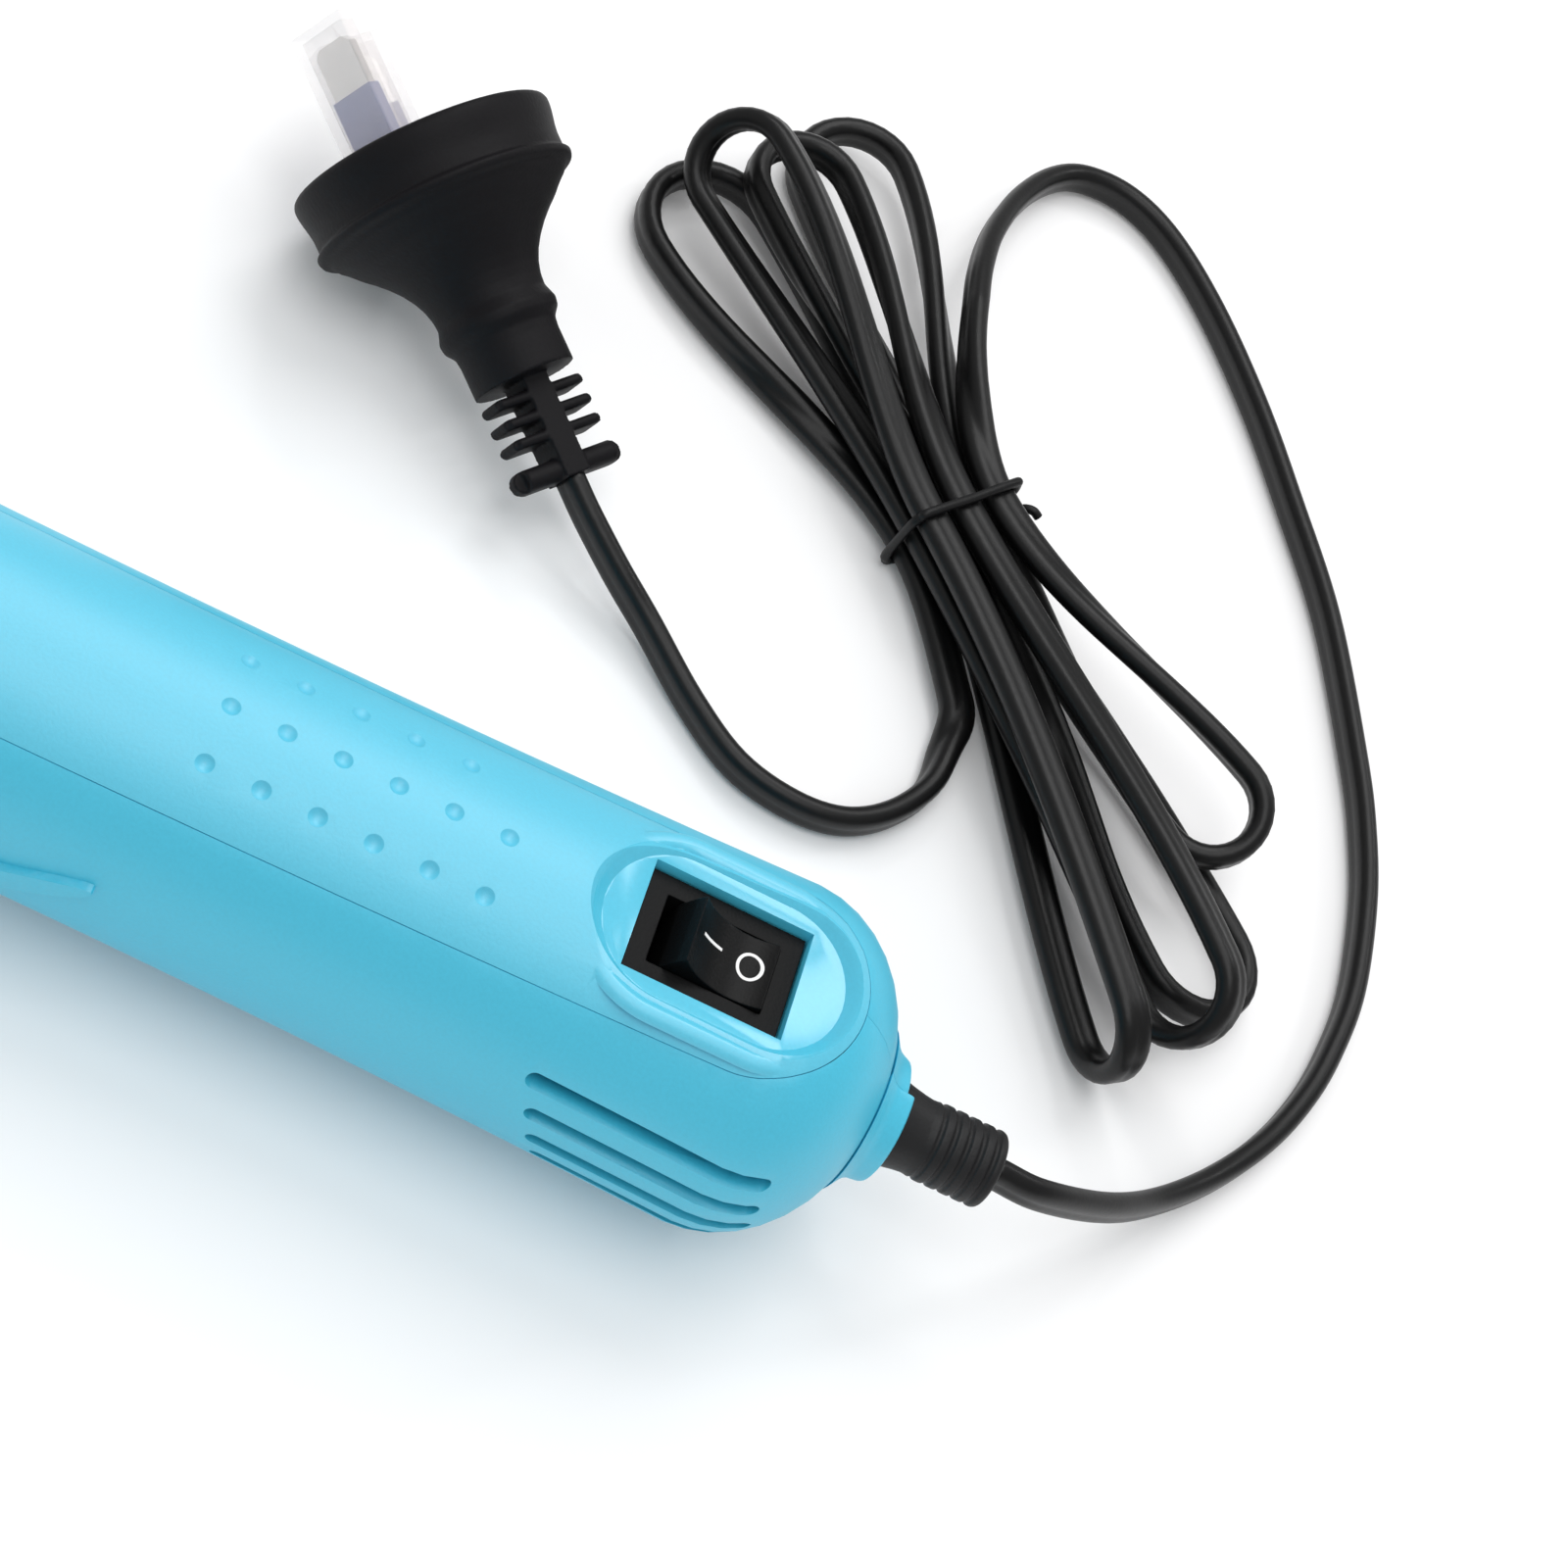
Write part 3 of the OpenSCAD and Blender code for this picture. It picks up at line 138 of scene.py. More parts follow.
# Cord route, by the same points as the solids. The hank has axes of its own: U
# along it, L across it, and its height over the table.
CORD_W = 5.4
CORD_T = 3.3
HANK_AT = Vector((91.7, 105, 0))
HANK_TURN = math.radians(-44)
HANK_U = Vector((math.cos(HANK_TURN), math.sin(HANK_TURN), 0))
HANK_L = Vector((-math.sin(HANK_TURN), math.cos(HANK_TURN), 0))
UP = Vector((0, 0, 1))
FLAT = Vector((0, 1, 0))
CORD_ROOM = 1
ROW = CORD_T + CORD_ROOM
LOW = 3.5
COLUMN = CORD_W + CORD_ROOM
# Place of each run at the hank's waist: across, height
WAIST = [
    (COLUMN, LOW + 2 * ROW), (COLUMN, LOW + ROW), (COLUMN, LOW),
    (0, LOW + ROW), (0, LOW + 2 * ROW), (-COLUMN, LOW + ROW),
    (-COLUMN, LOW + 2 * ROW), (0, LOW), (-COLUMN, LOW),
]
# Fold after each run: which end, U, L, height, radius, tilt and turn in degrees
FOLDS = [
    (1, 54, 13, 12, 7.6, 23, 14),
    (-1, -60, 18, 4.4, 9, 8, -9),
    (1, 72, 2.5, 4.6, 9, -8, 0),
    (-1, -57, 4, 10.4, 8, 180, -4),
    (1, 77, -9, 14.6, 7.5, 62, -6),
    (-1, -60, -8, 14.8, 7.5, 233, 5),
    (1, 77, -20.5, 10.2, 7, 90, -12),
    (-1, -57, -10, 3.5, 10.5, 0, 3),
]
# How straight each run passes the waist
FIRM = [1, 1, 1, 1.7, 1, 1, 1, 0.6, 1]
HANK_IN = Vector((-30, 19.5, 12.5))
HANK_IN_DIR = Vector((0.8, -0.6, 0))
HANK_OUT = Vector((20, -10.4, 3.5))
HANK_OUT_DIR = Vector((0.96, -0.28, 0))
# Where the cord runs on after it has left the hank
HANK_AFTER = [(26.5, -12.6, 3.3), (31, -17.5, 3.1)]


def turned(v):
    """A direction of the hank in the frame."""
    return v[0] * HANK_U + v[1] * HANK_L + Vector((0, 0, v[2]))


def in_hank(p):
    """A point of the hank in the frame."""
    return HANK_AT + turned(p)


def fold_axes(fold):
    """Outward direction, side direction, wide direction, centre and radius of a fold."""
    end, u, l, z, radius, tilt, turn = fold
    tilt, turn = math.radians(tilt), math.radians(turn)
    out = end * Vector((math.cos(turn), math.sin(turn), 0))
    level = Vector((-math.sin(turn), math.cos(turn), 0))
    side = math.cos(tilt) * level + math.sin(tilt) * UP
    wide = math.cos(tilt) * UP - math.sin(tilt) * level
    if wide.y < -0.001:
        wide = -wide
    return out, side, wide, Vector((u, l, z)), radius


def span(p0, m0, p1, m1, t):
    """Hermite curve between two places with given directions."""
    return (
        (2 * t**3 - 3 * t**2 + 1) * p0
        + (t**3 - 2 * t**2 + t) * m0
        + (3 * t**2 - 2 * t**3) * p1
        + (t**3 - t**2) * m1
    )


def hank_line(half_n, fold_n):
    """The hank's centre line and wide directions in the frame."""
    line = []
    last = len(WAIST) - 1
    for k in range(last + 1):
        way = Vector((1 if k % 2 == 0 else -1, 0, 0))
        middle = Vector((0, *WAIST[k]))
        if k == 0:
            start, away, wide0 = HANK_IN, HANK_IN_DIR, UP
        else:
            out, side, wide0, centre, radius = fold_axes(FOLDS[k - 1])
            start, away = centre - radius * side, -out
        if k == last:
            end, into, wide1 = HANK_OUT, HANK_OUT_DIR, FLAT
        else:
            out, side, wide1, centre, radius = fold_axes(FOLDS[k])
            end, into = centre + radius * side, out
        l0, l1 = abs(start.x), abs(end.x)
        for i in range(half_n):
            t = i / half_n
            place = span(start, l0 * away, middle, FIRM[k] * l0 * way, t)
            line.append((place, (1 - ease(t)) * wide0 + ease(t) * FLAT))
        for i in range(half_n):
            t = i / half_n
            place = span(middle, FIRM[k] * l1 * way, end, l1 * into, t)
            line.append((place, (1 - ease(t)) * FLAT + ease(t) * wide1))
        if k == last:
            line.append((end, wide1))
        else:
            for i in range(fold_n):
                a = math.pi * i / fold_n
                line.append((centre + radius * (math.cos(a) * side + math.sin(a) * out), wide1))
    return [(in_hank(p), turned(w)) for p, w in line]


BOOT_END = Vector((118, 0, 22.8))
CORD_LIFT = 0.2
ON_TABLE = CORD_W / 2 + CORD_LIFT
TOOL_POINTS = [
    (118.6, 0, 22.8), (126, 1, 21), (137.5, 7.5, 14), (147, 15.5, 7.5), (156, 25, 3.8),
    (163, 34.7, ON_TABLE), (167.4, 44, ON_TABLE), (170, 53.3, ON_TABLE), (171.5, 65, ON_TABLE),
    (170.5, 80, ON_TABLE), (168, 92, ON_TABLE), (164, 104, ON_TABLE), (154.5, 126.5, ON_TABLE),
    (144, 144, ON_TABLE), (134.5, 158.6, ON_TABLE), (123.5, 172.4, ON_TABLE),
    (113.2, 181.9, ON_TABLE), (104.4, 185.8, ON_TABLE), (96.2, 184.8, 3.2), (90.7, 179.8, 4.2),
    (86.2, 170.5, 6.2), (83.4, 159, 9), (82.8, 149, 11.2),
]
PLUG_L = 50
PLUG_TILT = math.radians(12.8)
PLUG_TURN = math.radians(231.2)
PLUG_R = 19.2
PLUG_HEAD = 9.5
PLUG_LIFT = 0.05
PLUG_Z = PLUG_R * math.cos(PLUG_TILT) + PLUG_HEAD * math.sin(PLUG_TILT) + PLUG_LIFT
PLUG_AT = Vector((-1.2, 109.4, PLUG_Z))
PLUG_MATRIX = (
    Matrix.Translation(PLUG_AT)
    @ Matrix.Rotation(PLUG_TURN, 4, "Z")
    @ Matrix.Rotation(math.pi / 2 - PLUG_TILT, 4, "X")
)
LEAD_POINTS = [
    (101, 63.6, ON_TABLE), (96.6, 56.6, ON_TABLE), (90.5, 52.2, ON_TABLE), (82.7, 51, ON_TABLE),
    (73.6, 52.9, ON_TABLE), (64.8, 58.8, ON_TABLE), (55.2, 66.4, 4.2), (48.2, 70.6, 6.3),
]
HANK_GAP = 0.6
# The cord's last places on the plug's axis, from before its end to just inside
PLUG_ENTRY = (6, 0.6, -0.5)
TOOL_STEPS = 8
RUN_STEPS = 22
FOLD_STEPS = 16
LEAD_STEPS = 6
RISE_STEPS = 24
RING_GAP = 0.35


def cord_route():
    """The whole cord from the boot to the plug, as (place, wide direction) pairs."""
    first = [Vector(p) for p in TOOL_POINTS]
    first.append(in_hank(HANK_IN - HANK_GAP * HANK_IN_DIR))
    route = [(p, UP) for p in [BOOT_END] + smooth_line(first, TOOL_STEPS)]
    route += hank_line(RUN_STEPS, FOLD_STEPS)
    near, end, inside = (PLUG_MATRIX @ Vector((0, 0, -PLUG_L - back)) for back in PLUG_ENTRY)
    lead = [in_hank(HANK_OUT + HANK_GAP * HANK_OUT_DIR)]
    lead += [in_hank(p) for p in HANK_AFTER]
    lead += [Vector(p) for p in LEAD_POINTS]
    lead += [near, end]
    for i, place in enumerate(smooth_line(lead, LEAD_STEPS) + [inside]):
        turn = ease(i / RISE_STEPS)
        route.append((place, (1 - turn) * turned(FLAT) + turn * UP))
    return route


def thinned(route):
    """The route without places that lie too close to the one before."""
    kept = [route[0]]
    for place, wide in route[1:]:
        if (place - kept[-1][0]).length > RING_GAP:
            kept.append((place, wide))
    return kept


EDGE_STEPS = 8
# The dip along the middle of a wide face: share of the face's half width, depth
DIPS = [(0.45, 0.02), (0, 0.1), (-0.45, 0.02)]


def cord_section():
    """Half-round edges and a wide face with a shallow dip along its middle."""
    r = CORD_T / 2
    flat = CORD_W / 2 - r
    points = []
    for side in (1, -1):
        for k in range(EDGE_STEPS + 1):
            a = math.radians(-90 + 180 / EDGE_STEPS * k)
            points.append((side * (flat + r * math.cos(a)), side * r * math.sin(a)))
        points += [(side * flat * x, side * (r - dip)) for x, dip in DIPS]
    return points


route = thinned(cord_route())
cord = sweep("mains_cord", [p for p, _ in route], [w for _, w in route], cord_section())
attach(cord, "tool")
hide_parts("tool_lead", "cord_hank", "plug_lead")


# Tie round the waist of the hank
TIE_T = 1.4
TIE_STEPS = 8
TIE_SIDES = 12
# Room between the cord and the tie: beside, above and below the bundle
TIE_ROOM = (0.4, 0.3, 0.2)
# Nearly the hank's own direction, so that it is never quite along the tie
TIE_WIDE = HANK_U + 0.01 * UP


def circle(count):
    """Directions of a full turn as (cosine, sine) pairs."""
    turns = [math.tau * k / count for k in range(count)]
    return [(math.cos(a), math.sin(a)) for a in turns]


def tie_points():
    """The tie's loop round the bundle, with its two tails, on the hank's axes."""
    beside, above, below = TIE_ROOM
    half = COLUMN + CORD_W / 2 + TIE_T / 2 + beside
    top = LOW + 2 * ROW + CORD_T / 2 + TIE_T / 2 + above
    bottom = LOW - CORD_T / 2 - TIE_T / 2 - below
    mid = (top + bottom) / 2
    return [
        (-3.4, half + 1.9, mid + 1.4), (-2.6, half + 1.2, mid + 1), (-1.5, half + 0.5, mid + 1.8),
        (-1.1, half, mid + 3.4), (-1, half - 0.8, top - 1), (-0.8, half - 2.2, top),
        (-0.3, 0, top), (0, 2.2 - half, top), (0, 0.8 - half, top - 1),
        (0, -half, top - 3), (0, -half, bottom + 3), (0, 0.8 - half, bottom + 1.1),
        (0, 2.2 - half, bottom), (0.3, 0, bottom), (0.8, half - 2.2, bottom),
        (1, half - 0.8, bottom + 1.1), (1.1, half, bottom + 3), (1.1, half + 0.2, mid),
        (1.6, half + 1.1, mid + 2), (2.6, half + 2, mid + 2.6), (3.6, half + 2.6, mid + 2.2),
    ]


tie_line = smooth_line([in_hank(p) for p in tie_points()], TIE_STEPS)
tie_section = [(TIE_T / 2 * x, TIE_T / 2 * y) for x, y in circle(TIE_SIDES)]
tie = sweep("cord_tie", tie_line, [TIE_WIDE for _ in tie_line], tie_section)
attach(tie, "tool")
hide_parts("twist_tie")


# Skins: copies of the moulded solids with their edges rounded off
SLOTS = {row["node"]: row["material_slot"] for row in frame["record"]["subparts"]}
WELD_GAP = 0.01
FLAT_ANGLE = math.radians(0.5)
EDGE_WIDTH = 0.3
EDGE_ROUNDS = 3
EDGE_ANGLE = math.radians(32)
SHARP_ANGLE = math.radians(40)
SOFTNESS = 0.5


def applied(item):
    """Turns an object's modifiers into its mesh."""
    graph = bpy.context.evaluated_depsgraph_get()
    mesh = bpy.data.meshes.new_from_object(item.evaluated_get(graph))
    item.modifiers.clear()
    item.data = mesh
    for polygon in mesh.polygons:
        polygon.use_smooth = True


def copy_of(name, node):
    """A new object with a copy of a solid's mesh."""
    item = bpy.data.objects.new(name, nodes[node].data.copy())
    bpy.context.scene.collection.objects.link(item)
    return item


def stand_in(item, node, body):
    """Makes a new object stand for a solid."""
    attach(item, body)
    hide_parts(node)
    return item


def soft_skin(name, node, body, size, rounds, share, shape=None):
    """A copy of a solid, remeshed, smoothed and thinned out, that stands for the solid."""
    item = copy_of(name, node)
    remesh = item.modifiers.new("remesh", "REMESH")
    remesh.mode = "VOXEL"
    remesh.voxel_size = mm(size)
    soften = item.modifiers.new("soften", "SMOOTH")
    soften.factor = SOFTNESS
    soften.iterations = rounds
    applied(item)
    if shape:
        for vertex in item.data.vertices:
            vertex.co = mm(shape(vertex.co * 1000))
    thin = item.modifiers.new("thin", "DECIMATE")
    thin.ratio = share
    applied(item)
    return stand_in(item, node, body)


def crisp_skin(name, node, body):
    """A copy of a solid with narrow round edges, that stands for the solid."""
    item = copy_of(name, node)
    weld = item.modifiers.new("weld", "WELD")
    weld.merge_threshold = mm(WELD_GAP)
    flat = item.modifiers.new("flat", "DECIMATE")
    flat.decimate_type = "DISSOLVE"
    flat.angle_limit = FLAT_ANGLE
    bevel = item.modifiers.new("bevel", "BEVEL")
    bevel.width = mm(EDGE_WIDTH)
    bevel.segments = EDGE_ROUNDS
    bevel.limit_method = "ANGLE"
    bevel.angle_limit = EDGE_ANGLE
    bevel.harden_normals = True
    applied(item)
    item.data.set_sharp_from_angle(angle=SHARP_ANGLE)
    return stand_in(item, node, body)


# A bead runs round the back edge of the plug's head and stands BEAD_STEP over it.
# The rim's depth and fade are radial, all other lengths lie along the plug's axis.
BEAD_STEP = 0.7
RIM_DEPTH = 5
RIM_FADE = 4
BEAD_FRONT = 1
BEAD_BACK = 0.3
BEAD_EASE = 0.8
FACE_EDGE = 1
FACE_EASE = 5
SHOULDER = 6
SHOULDER_EASE = 4


def plug_rim(place):
    """Draws the plug's head in on both sides of the bead at its back edge."""
    inner = PLUG_MATRIX.inverted() @ place
    reach = math.hypot(inner.x, inner.y)
    if reach < PLUG_R - RIM_DEPTH:
        return place
    front = ease((-FACE_EDGE - inner.z) / FACE_EASE)
    front *= ease((inner.z + PLUG_HEAD - BEAD_FRONT) / BEAD_EASE)
    back = ease((BEAD_BACK - PLUG_HEAD - inner.z) / BEAD_EASE)
    back *= ease((inner.z + PLUG_HEAD + SHOULDER) / SHOULDER_EASE)
    rim = ease((reach - PLUG_R + RIM_DEPTH) / RIM_FADE)
    shrink = 1 - BEAD_STEP * max(front, back) * rim / reach
    return PLUG_MATRIX @ Vector((shrink * inner.x, shrink * inner.y, inner.z))


cover_skin = crisp_skin("cover_skin", "top_cover", "tool")
left_skin = crisp_skin("left_shell_skin", "left_shell", "tool")
right_skin = crisp_skin("right_shell_skin", "right_shell", "tool")
boot_skin = soft_skin("boot_skin", "cord_boot", "tool", size=0.14, rounds=2, share=0.4)
plug_skin = soft_skin(
    "plug_skin", "plug_body", "tool", size=0.24, rounds=3, share=0.4, shape=plug_rim
)
rocker_skin = soft_skin("rocker_skin", "rocker", "rocker", size=0.12, rounds=2, share=0.5)
switch_skin = soft_skin("switch_skin", "switch_body", "tool", size=0.14, rounds=2, share=0.5)


# Marks on the rocker, which follow its hollow top
SWITCH_X = 70.2
PIVOT_Z = 36.3
ROCKER_TILT = math.radians(14.4)
ROCKER_AT = Matrix.Translation(Vector((SWITCH_X, 0, PIVOT_Z)))
ROCKER_MATRIX = ROCKER_AT @ Matrix.Rotation(ROCKER_TILT, 4, "Y")
HOLLOW_LOW = 5.1
HOLLOW_R = 8.88
MARK_W = 0.4
MARK_T = 0.06
BAR_X = -4.1
BAR_Y = 0.7
BAR_L = 3.45
BAR_STEPS = 12
RING_X = 3.3
RING_Y = 0.45
RING_HALF_X = 1.45
RING_HALF_Y = 1.75
RING_STEPS = 48


def on_rocker(x, y, lift):
    """A point above the rocker's hollow top."""
    z = HOLLOW_LOW + HOLLOW_R - math.sqrt(HOLLOW_R**2 - x * x) + lift
    return ROCKER_MATRIX @ Vector((x, y, z))


def mark(name, line, closed):
    """A thin printed stroke along a line of (x, y, across x, across y) rows."""
    points = []
    for x, y, u, v in line:
        for side, lift in ((-1, -MARK_T), (1, -MARK_T), (1, MARK_T), (-1, MARK_T)):
            out = side * MARK_W / 2
            points.append(mm(on_rocker(x + u * out, y + v * out, lift)))
    n = len(line)
    faces = []
    for i in range(n if closed else n - 1):
        here, there = 4 * i, 4 * ((i + 1) % n)
        for k in range(4):
            faces.append((here + k, here + (k + 1) % 4, there + (k + 1) % 4, there + k))
    if not closed:
        faces += [(3, 2, 1, 0), (4 * n - 4, 4 * n - 3, 4 * n - 2, 4 * n - 1)]
    item = add_mesh(name, points, faces, smooth=False)
    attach(item, "rocker")
    return item


bar_line = [(BAR_X + BAR_L * i / BAR_STEPS, BAR_Y, 0, 1) for i in range(BAR_STEPS + 1)]
ring_line = [
    (RING_X + RING_HALF_X * u, RING_Y + RING_HALF_Y * v, u, v)
    for u, v in circle(RING_STEPS)
]
bar_mark = mark("rocker_bar_mark", bar_line, closed=False)
ring_mark = mark("rocker_ring_mark", ring_line, closed=True)


# Materials
GRAIN_DETAIL = 3
GRAIN_SPAN = (0.3, 0.7)
ROUGH_SPREAD = 0.05
ROUGH_LEAST = 0.02
RELIEF_DEPTH = 0.2


def material(name, colour, roughness, grain=900, relief=0.08, vary=0.03, **sockets):
    """A plastic, rubber or metal with fine variation in colour, roughness and relief."""
    mat = bpy.data.materials.new(name)
    mat.use_nodes = True
    tree = mat.node_tree
    shader = tree.nodes["Principled BSDF"]
    coords = tree.nodes.new("ShaderNodeTexCoord")
    noise = tree.nodes.new("ShaderNodeTexNoise")
    noise.inputs["Scale"].default_value = grain
    noise.inputs["Detail"].default_value = GRAIN_DETAIL
    tree.links.new(coords.outputs["Object"], noise.inputs["Vector"])
    ramp = tree.nodes.new("ShaderNodeValToRGB")
    for stop, place, change in zip(ramp.color_ramp.elements, GRAIN_SPAN, (-vary, vary)):
        stop.position = place
        stop.color = (*[min(1, c * (1 + change)) for c in colour], 1)
    tree.links.new(noise.outputs["Fac"], ramp.inputs["Fac"])
    tree.links.new(ramp.outputs["Color"], shader.inputs["Base Color"])
    rough = tree.nodes.new("ShaderNodeMapRange")
    rough.inputs["To Min"].default_value = max(ROUGH_LEAST, roughness - ROUGH_SPREAD)
    rough.inputs["To Max"].default_value = roughness + ROUGH_SPREAD
    tree.links.new(noise.outputs["Fac"], rough.inputs["Value"])
    tree.links.new(rough.outputs["Result"], shader.inputs["Roughness"])
    bump = tree.nodes.new("ShaderNodeBump")
    bump.inputs["Strength"].default_value = relief
    bump.inputs["Distance"].default_value = mm(RELIEF_DEPTH)
    tree.links.new(noise.outputs["Fac"], bump.inputs["Height"])
    tree.links.new(bump.outputs["Normal"], shader.inputs["Normal"])
    for key, value in sockets.items():
        shader.inputs[key.replace("_", " ")].default_value = value
    return mat


def srgb(r, g, b):
    """A colour as a picture shows it, in linear light."""
    return tuple(
        c / 12.92 if c <= 0.04045 else ((c + 0.055) / 1.055) ** 2.4
        for c in (r, g, b)
    )


def calculated(tree, operation, source, value=None):
    """The output of a vector math node that works on a socket and a fixed value."""
    node = tree.nodes.new("ShaderNodeVectorMath")
    node.operation = operation
    tree.links.new(source, node.inputs[0])
    if value is not None:
        node.inputs[1].default_value = value
    return node.outputs["Value" if operation == "LENGTH" else "Vector"]


# The sunk dish round the switch: its middle, half the length of its straight
# sides, its end radius and the width of its soft border
DISH_X = 71
DISH_HALF = 6.3
DISH_R = 11.7
DISH_BORDER = 0.4
DISH_ROUGHNESS = 0.2


def polish_dish(mat):
    """Makes the sunk dish round the switch glossy and leaves the rest satin."""
    tree = mat.node_tree
    coords = tree.nodes.new("ShaderNodeTexCoord")
    shifted = calculated(tree, "SUBTRACT", coords.outputs["Object"], mm((DISH_X, 0, 0)))
    folded = calculated(tree, "ABSOLUTE", shifted)
    beyond = calculated(tree, "SUBTRACT", folded, mm((DISH_HALF, 0, 0)))
    clipped = calculated(tree, "MAXIMUM", beyond, (0, 0, 0))
    level = calculated(tree, "MULTIPLY", clipped, (1, 1, 0))
    outside = tree.nodes.new("ShaderNodeMapRange")
    outside.inputs["From Min"].default_value = mm(DISH_R - DISH_BORDER / 2)
    outside.inputs["From Max"].default_value = mm(DISH_R + DISH_BORDER / 2)
    tree.links.new(calculated(tree, "LENGTH", level), outside.inputs["Value"])
    shader = tree.nodes["Principled BSDF"]
    satin = shader.inputs["Roughness"].links[0].from_socket
    blend = tree.nodes.new("ShaderNodeMix")
    blend.inputs["A"].default_value = DISH_ROUGHNESS
    tree.links.new(outside.outputs["Result"], blend.inputs["Factor"])
    tree.links.new(satin, blend.inputs["B"])
    tree.links.new(blend.outputs["Result"], shader.inputs["Roughness"])
    bump = shader.inputs["Normal"].links[0].from_node
    relief = tree.nodes.new("ShaderNodeMath")
    relief.operation = "MULTIPLY"
    relief.inputs[1].default_value = bump.inputs["Strength"].default_value
    tree.links.new(outside.outputs["Result"], relief.inputs[0])
    tree.links.new(relief.outputs["Value"], bump.inputs["Strength"])


# Specular level of the glossy blue mouldings and of the dull black plastics
BRIGHT = 1.0
DULL = 0.15
SHELL = material(
    "shell", srgb(0.20, 0.72, 0.84), 0.45, grain=2200, relief=0.12, Specular_IOR_Level=BRIGHT
)
# The cover is the same blue plastic as the shells. Its lighter, whiter base colour is painted
# sheen: it stands in for the broad soft highlight along the top. The coat adds a real sheen on
# top of that.
COVER_WITH_PAINTED_SHEEN = material(
    "cover", srgb(0.29, 0.745, 0.86), 0.48, grain=2200, relief=0.12,
    Specular_IOR_Level=BRIGHT, Coat_Weight=0.25, Coat_Roughness=0.4,
)
polish_dish(COVER_WITH_PAINTED_SHEEN)
BLACK = material(
    "black_plastic", srgb(0.07, 0.07, 0.075), 0.5, grain=1800, relief=0.2,
    Specular_IOR_Level=DULL,
)
CORD = material(
    "cord_skin", srgb(0.035, 0.035, 0.038), 0.38, grain=1500, relief=0.1,
    Specular_IOR_Level=0.35,
)
STEEL = material("steel", (0.62, 0.62, 0.64), 0.3, grain=1200, relief=0.05, Metallic=1.0)
PAINTS = {
    "shell": SHELL,
    "nozzle": material(
        "nozzle_steel", (0.66, 0.65, 0.64), 0.28, grain=400, relief=0.05, Metallic=1.0
    ),
    "mica": material("mica", srgb(0.80, 0.74, 0.62), 0.6, grain=300, relief=0.3, vary=0.12),
    "resistance_wire": material("resistance_wire", (0.42, 0.39, 0.37), 0.4, Metallic=1.0),
    "cutout": material("cutout_steel", (0.5, 0.47, 0.44), 0.4, Metallic=1.0),
    "duct": material("duct_plastic", srgb(0.88, 0.87, 0.83), 0.55),
    "motor_steel": STEEL,
    "motor_plastic": BLACK,
    "magnet": material("magnet", srgb(0.3, 0.3, 0.3), 0.7, relief=0.3),
    "rotor_steel": material("rotor_steel", (0.55, 0.42, 0.3), 0.4, Metallic=1.0),
    "fan_plastic": material("fan_plastic", srgb(0.93, 0.92, 0.88), 0.5),
    "board": material("board", srgb(0.78, 0.62, 0.38), 0.55, vary=0.08),
    "diode": material("diode_case", srgb(0.14, 0.14, 0.14), 0.3),
    "switch": material(
        "switch_plastic", srgb(0.06, 0.06, 0.062), 0.5, grain=2500, relief=0.25,
        Specular_IOR_Level=DULL,
    ),
    "rocker": material(
        "rocker_plastic", srgb(0.05, 0.05, 0.052), 0.4, grain=2500, relief=0.2,
        Specular_IOR_Level=DULL,
    ),
    "terminal": material("brass", (0.8, 0.6, 0.28), 0.3, Metallic=1.0),
    "cord": CORD,
    "live_insulation": material("live_skin", srgb(0.45, 0.27, 0.15), 0.45),
    "neutral_insulation": material("neutral_skin", srgb(0.15, 0.35, 0.7), 0.45),
    "glass_sleeving": material(
        "glass_sleeving", srgb(0.86, 0.86, 0.83), 0.8, grain=3000, relief=0.5
    ),
    "clamp_plastic": material("clamp_plastic", srgb(0.9, 0.9, 0.88), 0.5),
    "screw": STEEL,
    "boot": material(
        "boot_rubber", srgb(0.11, 0.11, 0.115), 0.5, grain=1800, relief=0.2,
        Specular_IOR_Level=0.3,
    ),
    "tie": material("tie_skin", srgb(0.05, 0.05, 0.055), 0.45, Specular_IOR_Level=0.3),
    "plug": material(
        "plug_plastic", srgb(0.075, 0.07, 0.08), 0.55, grain=1800, relief=0.2,
        Specular_IOR_Level=DULL,
    ),
    "pin": material("pin_metal", (0.70, 0.69, 0.67), 0.3, Metallic=1.0),
    "pin_sleeve": material("sleeve_plastic", srgb(0.30, 0.36, 0.58), 0.5),
    "clear_cover": material(
        "milky_plastic", srgb(0.96, 0.94, 0.94), 0.5, relief=0.05, Alpha=0.22
    ),
}


def paint(item, mat):
    """Gives an object one material."""
    item.data.materials.clear()
    item.data.materials.append(mat)


for name, item in nodes.items():
    paint(item, PAINTS[SLOTS[name]])
for item, slot in (
    (cord, "cord"), (tie, "tie"), (left_skin, "shell"), (right_skin, "shell"),
    (boot_skin, "boot"), (plug_skin, "plug"), (rocker_skin, "rocker"), (switch_skin, "switch"),
):
    paint(item, PAINTS[slot])
paint(cover_skin, COVER_WITH_PAINTED_SHEEN)
white = material("mark_white", srgb(0.92, 0.92, 0.92), 0.5, relief=0.3)
paint(bar_mark, white)
paint(ring_mark, white)


# Table and lights
WHITE = (1, 1, 1, 1)
TABLE_HALF = 3000
TABLE_TOP = (0.93, 0.93, 0.935, 1)
TABLE_ROUGHNESS = 0.9
# The table's own glow: its share near the tool, and where it starts to grow and
# where it takes over, from the middle of the table
GLOW_NEAR = 0.05
GLOW_START = 250
GLOW_FULL = 700


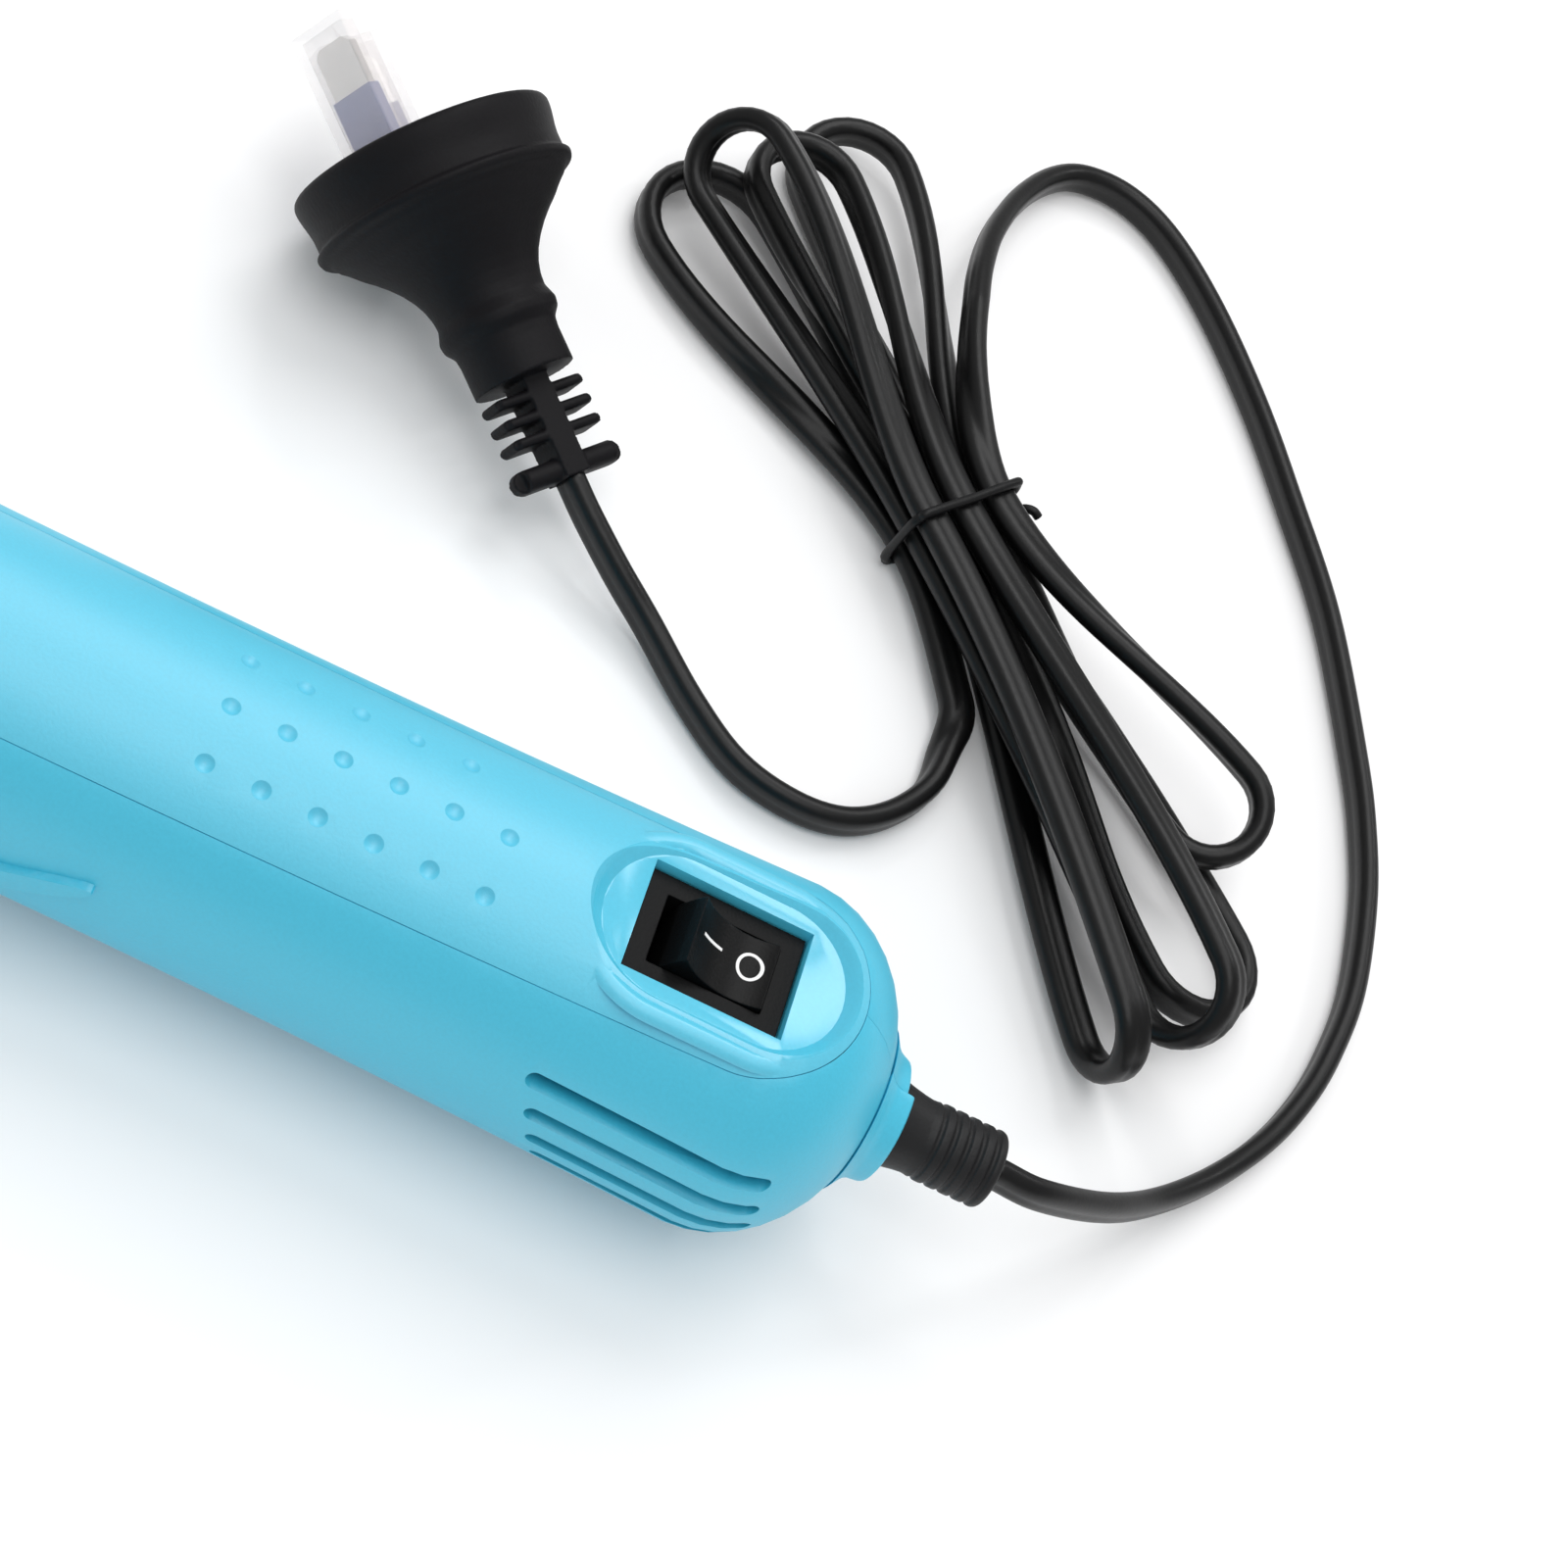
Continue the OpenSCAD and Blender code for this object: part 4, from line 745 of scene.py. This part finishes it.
def shadow_floor():
    """A table top that shades softly near the tool and fades to plain white far from it."""
    mat = bpy.data.materials.new("table")
    mat.use_nodes = True
    tree = mat.node_tree
    shader = tree.nodes["Principled BSDF"]
    shader.inputs["Base Color"].default_value = TABLE_TOP
    shader.inputs["Roughness"].default_value = TABLE_ROUGHNESS
    glow = tree.nodes.new("ShaderNodeEmission")
    glow.inputs["Color"].default_value = WHITE
    rays = tree.nodes.new("ShaderNodeLightPath")
    direct = tree.nodes.new("ShaderNodeMath")
    direct.operation = "MAXIMUM"
    tree.links.new(rays.outputs["Is Camera Ray"], direct.inputs[0])
    tree.links.new(rays.outputs["Is Glossy Ray"], direct.inputs[1])
    seen = tree.nodes.new("ShaderNodeMath")
    seen.operation = "MAXIMUM"
    tree.links.new(direct.outputs["Value"], seen.inputs[0])
    tree.links.new(rays.outputs["Is Transmission Ray"], seen.inputs[1])
    coords = tree.nodes.new("ShaderNodeTexCoord")
    far = tree.nodes.new("ShaderNodeMapRange")
    far.inputs["From Min"].default_value = mm(GLOW_START)
    far.inputs["From Max"].default_value = mm(GLOW_FULL)
    far.inputs["To Min"].default_value = GLOW_NEAR
    reach = calculated(tree, "LENGTH", coords.outputs["Object"])
    tree.links.new(reach, far.inputs["Value"])
    share = tree.nodes.new("ShaderNodeMath")
    share.operation = "MULTIPLY"
    tree.links.new(seen.outputs["Value"], share.inputs[0])
    tree.links.new(far.outputs["Result"], share.inputs[1])
    mix = tree.nodes.new("ShaderNodeMixShader")
    tree.links.new(share.outputs["Value"], mix.inputs["Fac"])
    tree.links.new(shader.outputs["BSDF"], mix.inputs[1])
    tree.links.new(glow.outputs["Emission"], mix.inputs[2])
    tree.links.new(mix.outputs["Shader"], tree.nodes["Material Output"].inputs["Surface"])
    return mat


CORNERS = [(-1, -1), (1, -1), (1, 1), (-1, 1)]
floor = add_mesh(
    "table", [mm((x * TABLE_HALF, y * TABLE_HALF, 0)) for x, y in CORNERS], [(0, 1, 2, 3)]
)
paint(floor, shadow_floor())


# Strength of the white room: as it lights, in reflections, and straight in view
ROOM_LIGHT = 0.7
ROOM_GLOSS = 0.4
ROOM_VIEW = 1


def white_room():
    """A world that lights evenly, shows dim in reflections and white in view."""
    room = bpy.data.worlds.new("world")
    room.use_nodes = True
    tree = room.node_tree
    tree.nodes.remove(tree.nodes["Background"])
    rays = tree.nodes.new("ShaderNodeLightPath")
    walls = []
    for strength in (ROOM_LIGHT, ROOM_GLOSS, ROOM_VIEW):
        wall = tree.nodes.new("ShaderNodeBackground")
        wall.inputs["Color"].default_value = WHITE
        wall.inputs["Strength"].default_value = strength
        walls.append(wall.outputs["Background"])
    shown = walls[0]
    for ray, wall in zip(("Is Glossy Ray", "Is Camera Ray"), walls[1:]):
        mix = tree.nodes.new("ShaderNodeMixShader")
        tree.links.new(rays.outputs[ray], mix.inputs["Fac"])
        tree.links.new(shown, mix.inputs[1])
        tree.links.new(wall, mix.inputs[2])
        shown = mix.outputs["Shader"]
    tree.links.new(shown, tree.nodes["World Output"].inputs["Surface"])
    return room


bpy.context.scene.world = white_room()

LIGHT_AIM = Vector(mm((40, 40, 20)))
LIGHT_REACH = mm(1100)


def area_light(name, azimuth, elevation, size, power):
    """A square soft box that looks at the object, with its power in watts."""
    data = bpy.data.lights.new(name, "AREA")
    data.shape = "SQUARE"
    data.size = mm(size)
    data.energy = power
    lamp = bpy.data.objects.new(name, data)
    a, e = math.radians(azimuth), math.radians(elevation)
    away = Vector((math.cos(a) * math.cos(e), math.sin(a) * math.cos(e), math.sin(e)))
    lamp.location = LIGHT_AIM + LIGHT_REACH * away
    lamp.rotation_euler = away.to_track_quat("Z", "Y").to_euler()
    bpy.context.scene.collection.objects.link(lamp)


area_light("key", azimuth=82, elevation=60, size=600, power=3.6)
area_light("overhead", azimuth=262, elevation=80, size=700, power=3.6)
area_light("right_glint", azimuth=45, elevation=32, size=100, power=0.7)
area_light("left_glint", azimuth=109, elevation=43, size=100, power=0.7)

bpy.context.scene.view_settings.view_transform = "Standard"
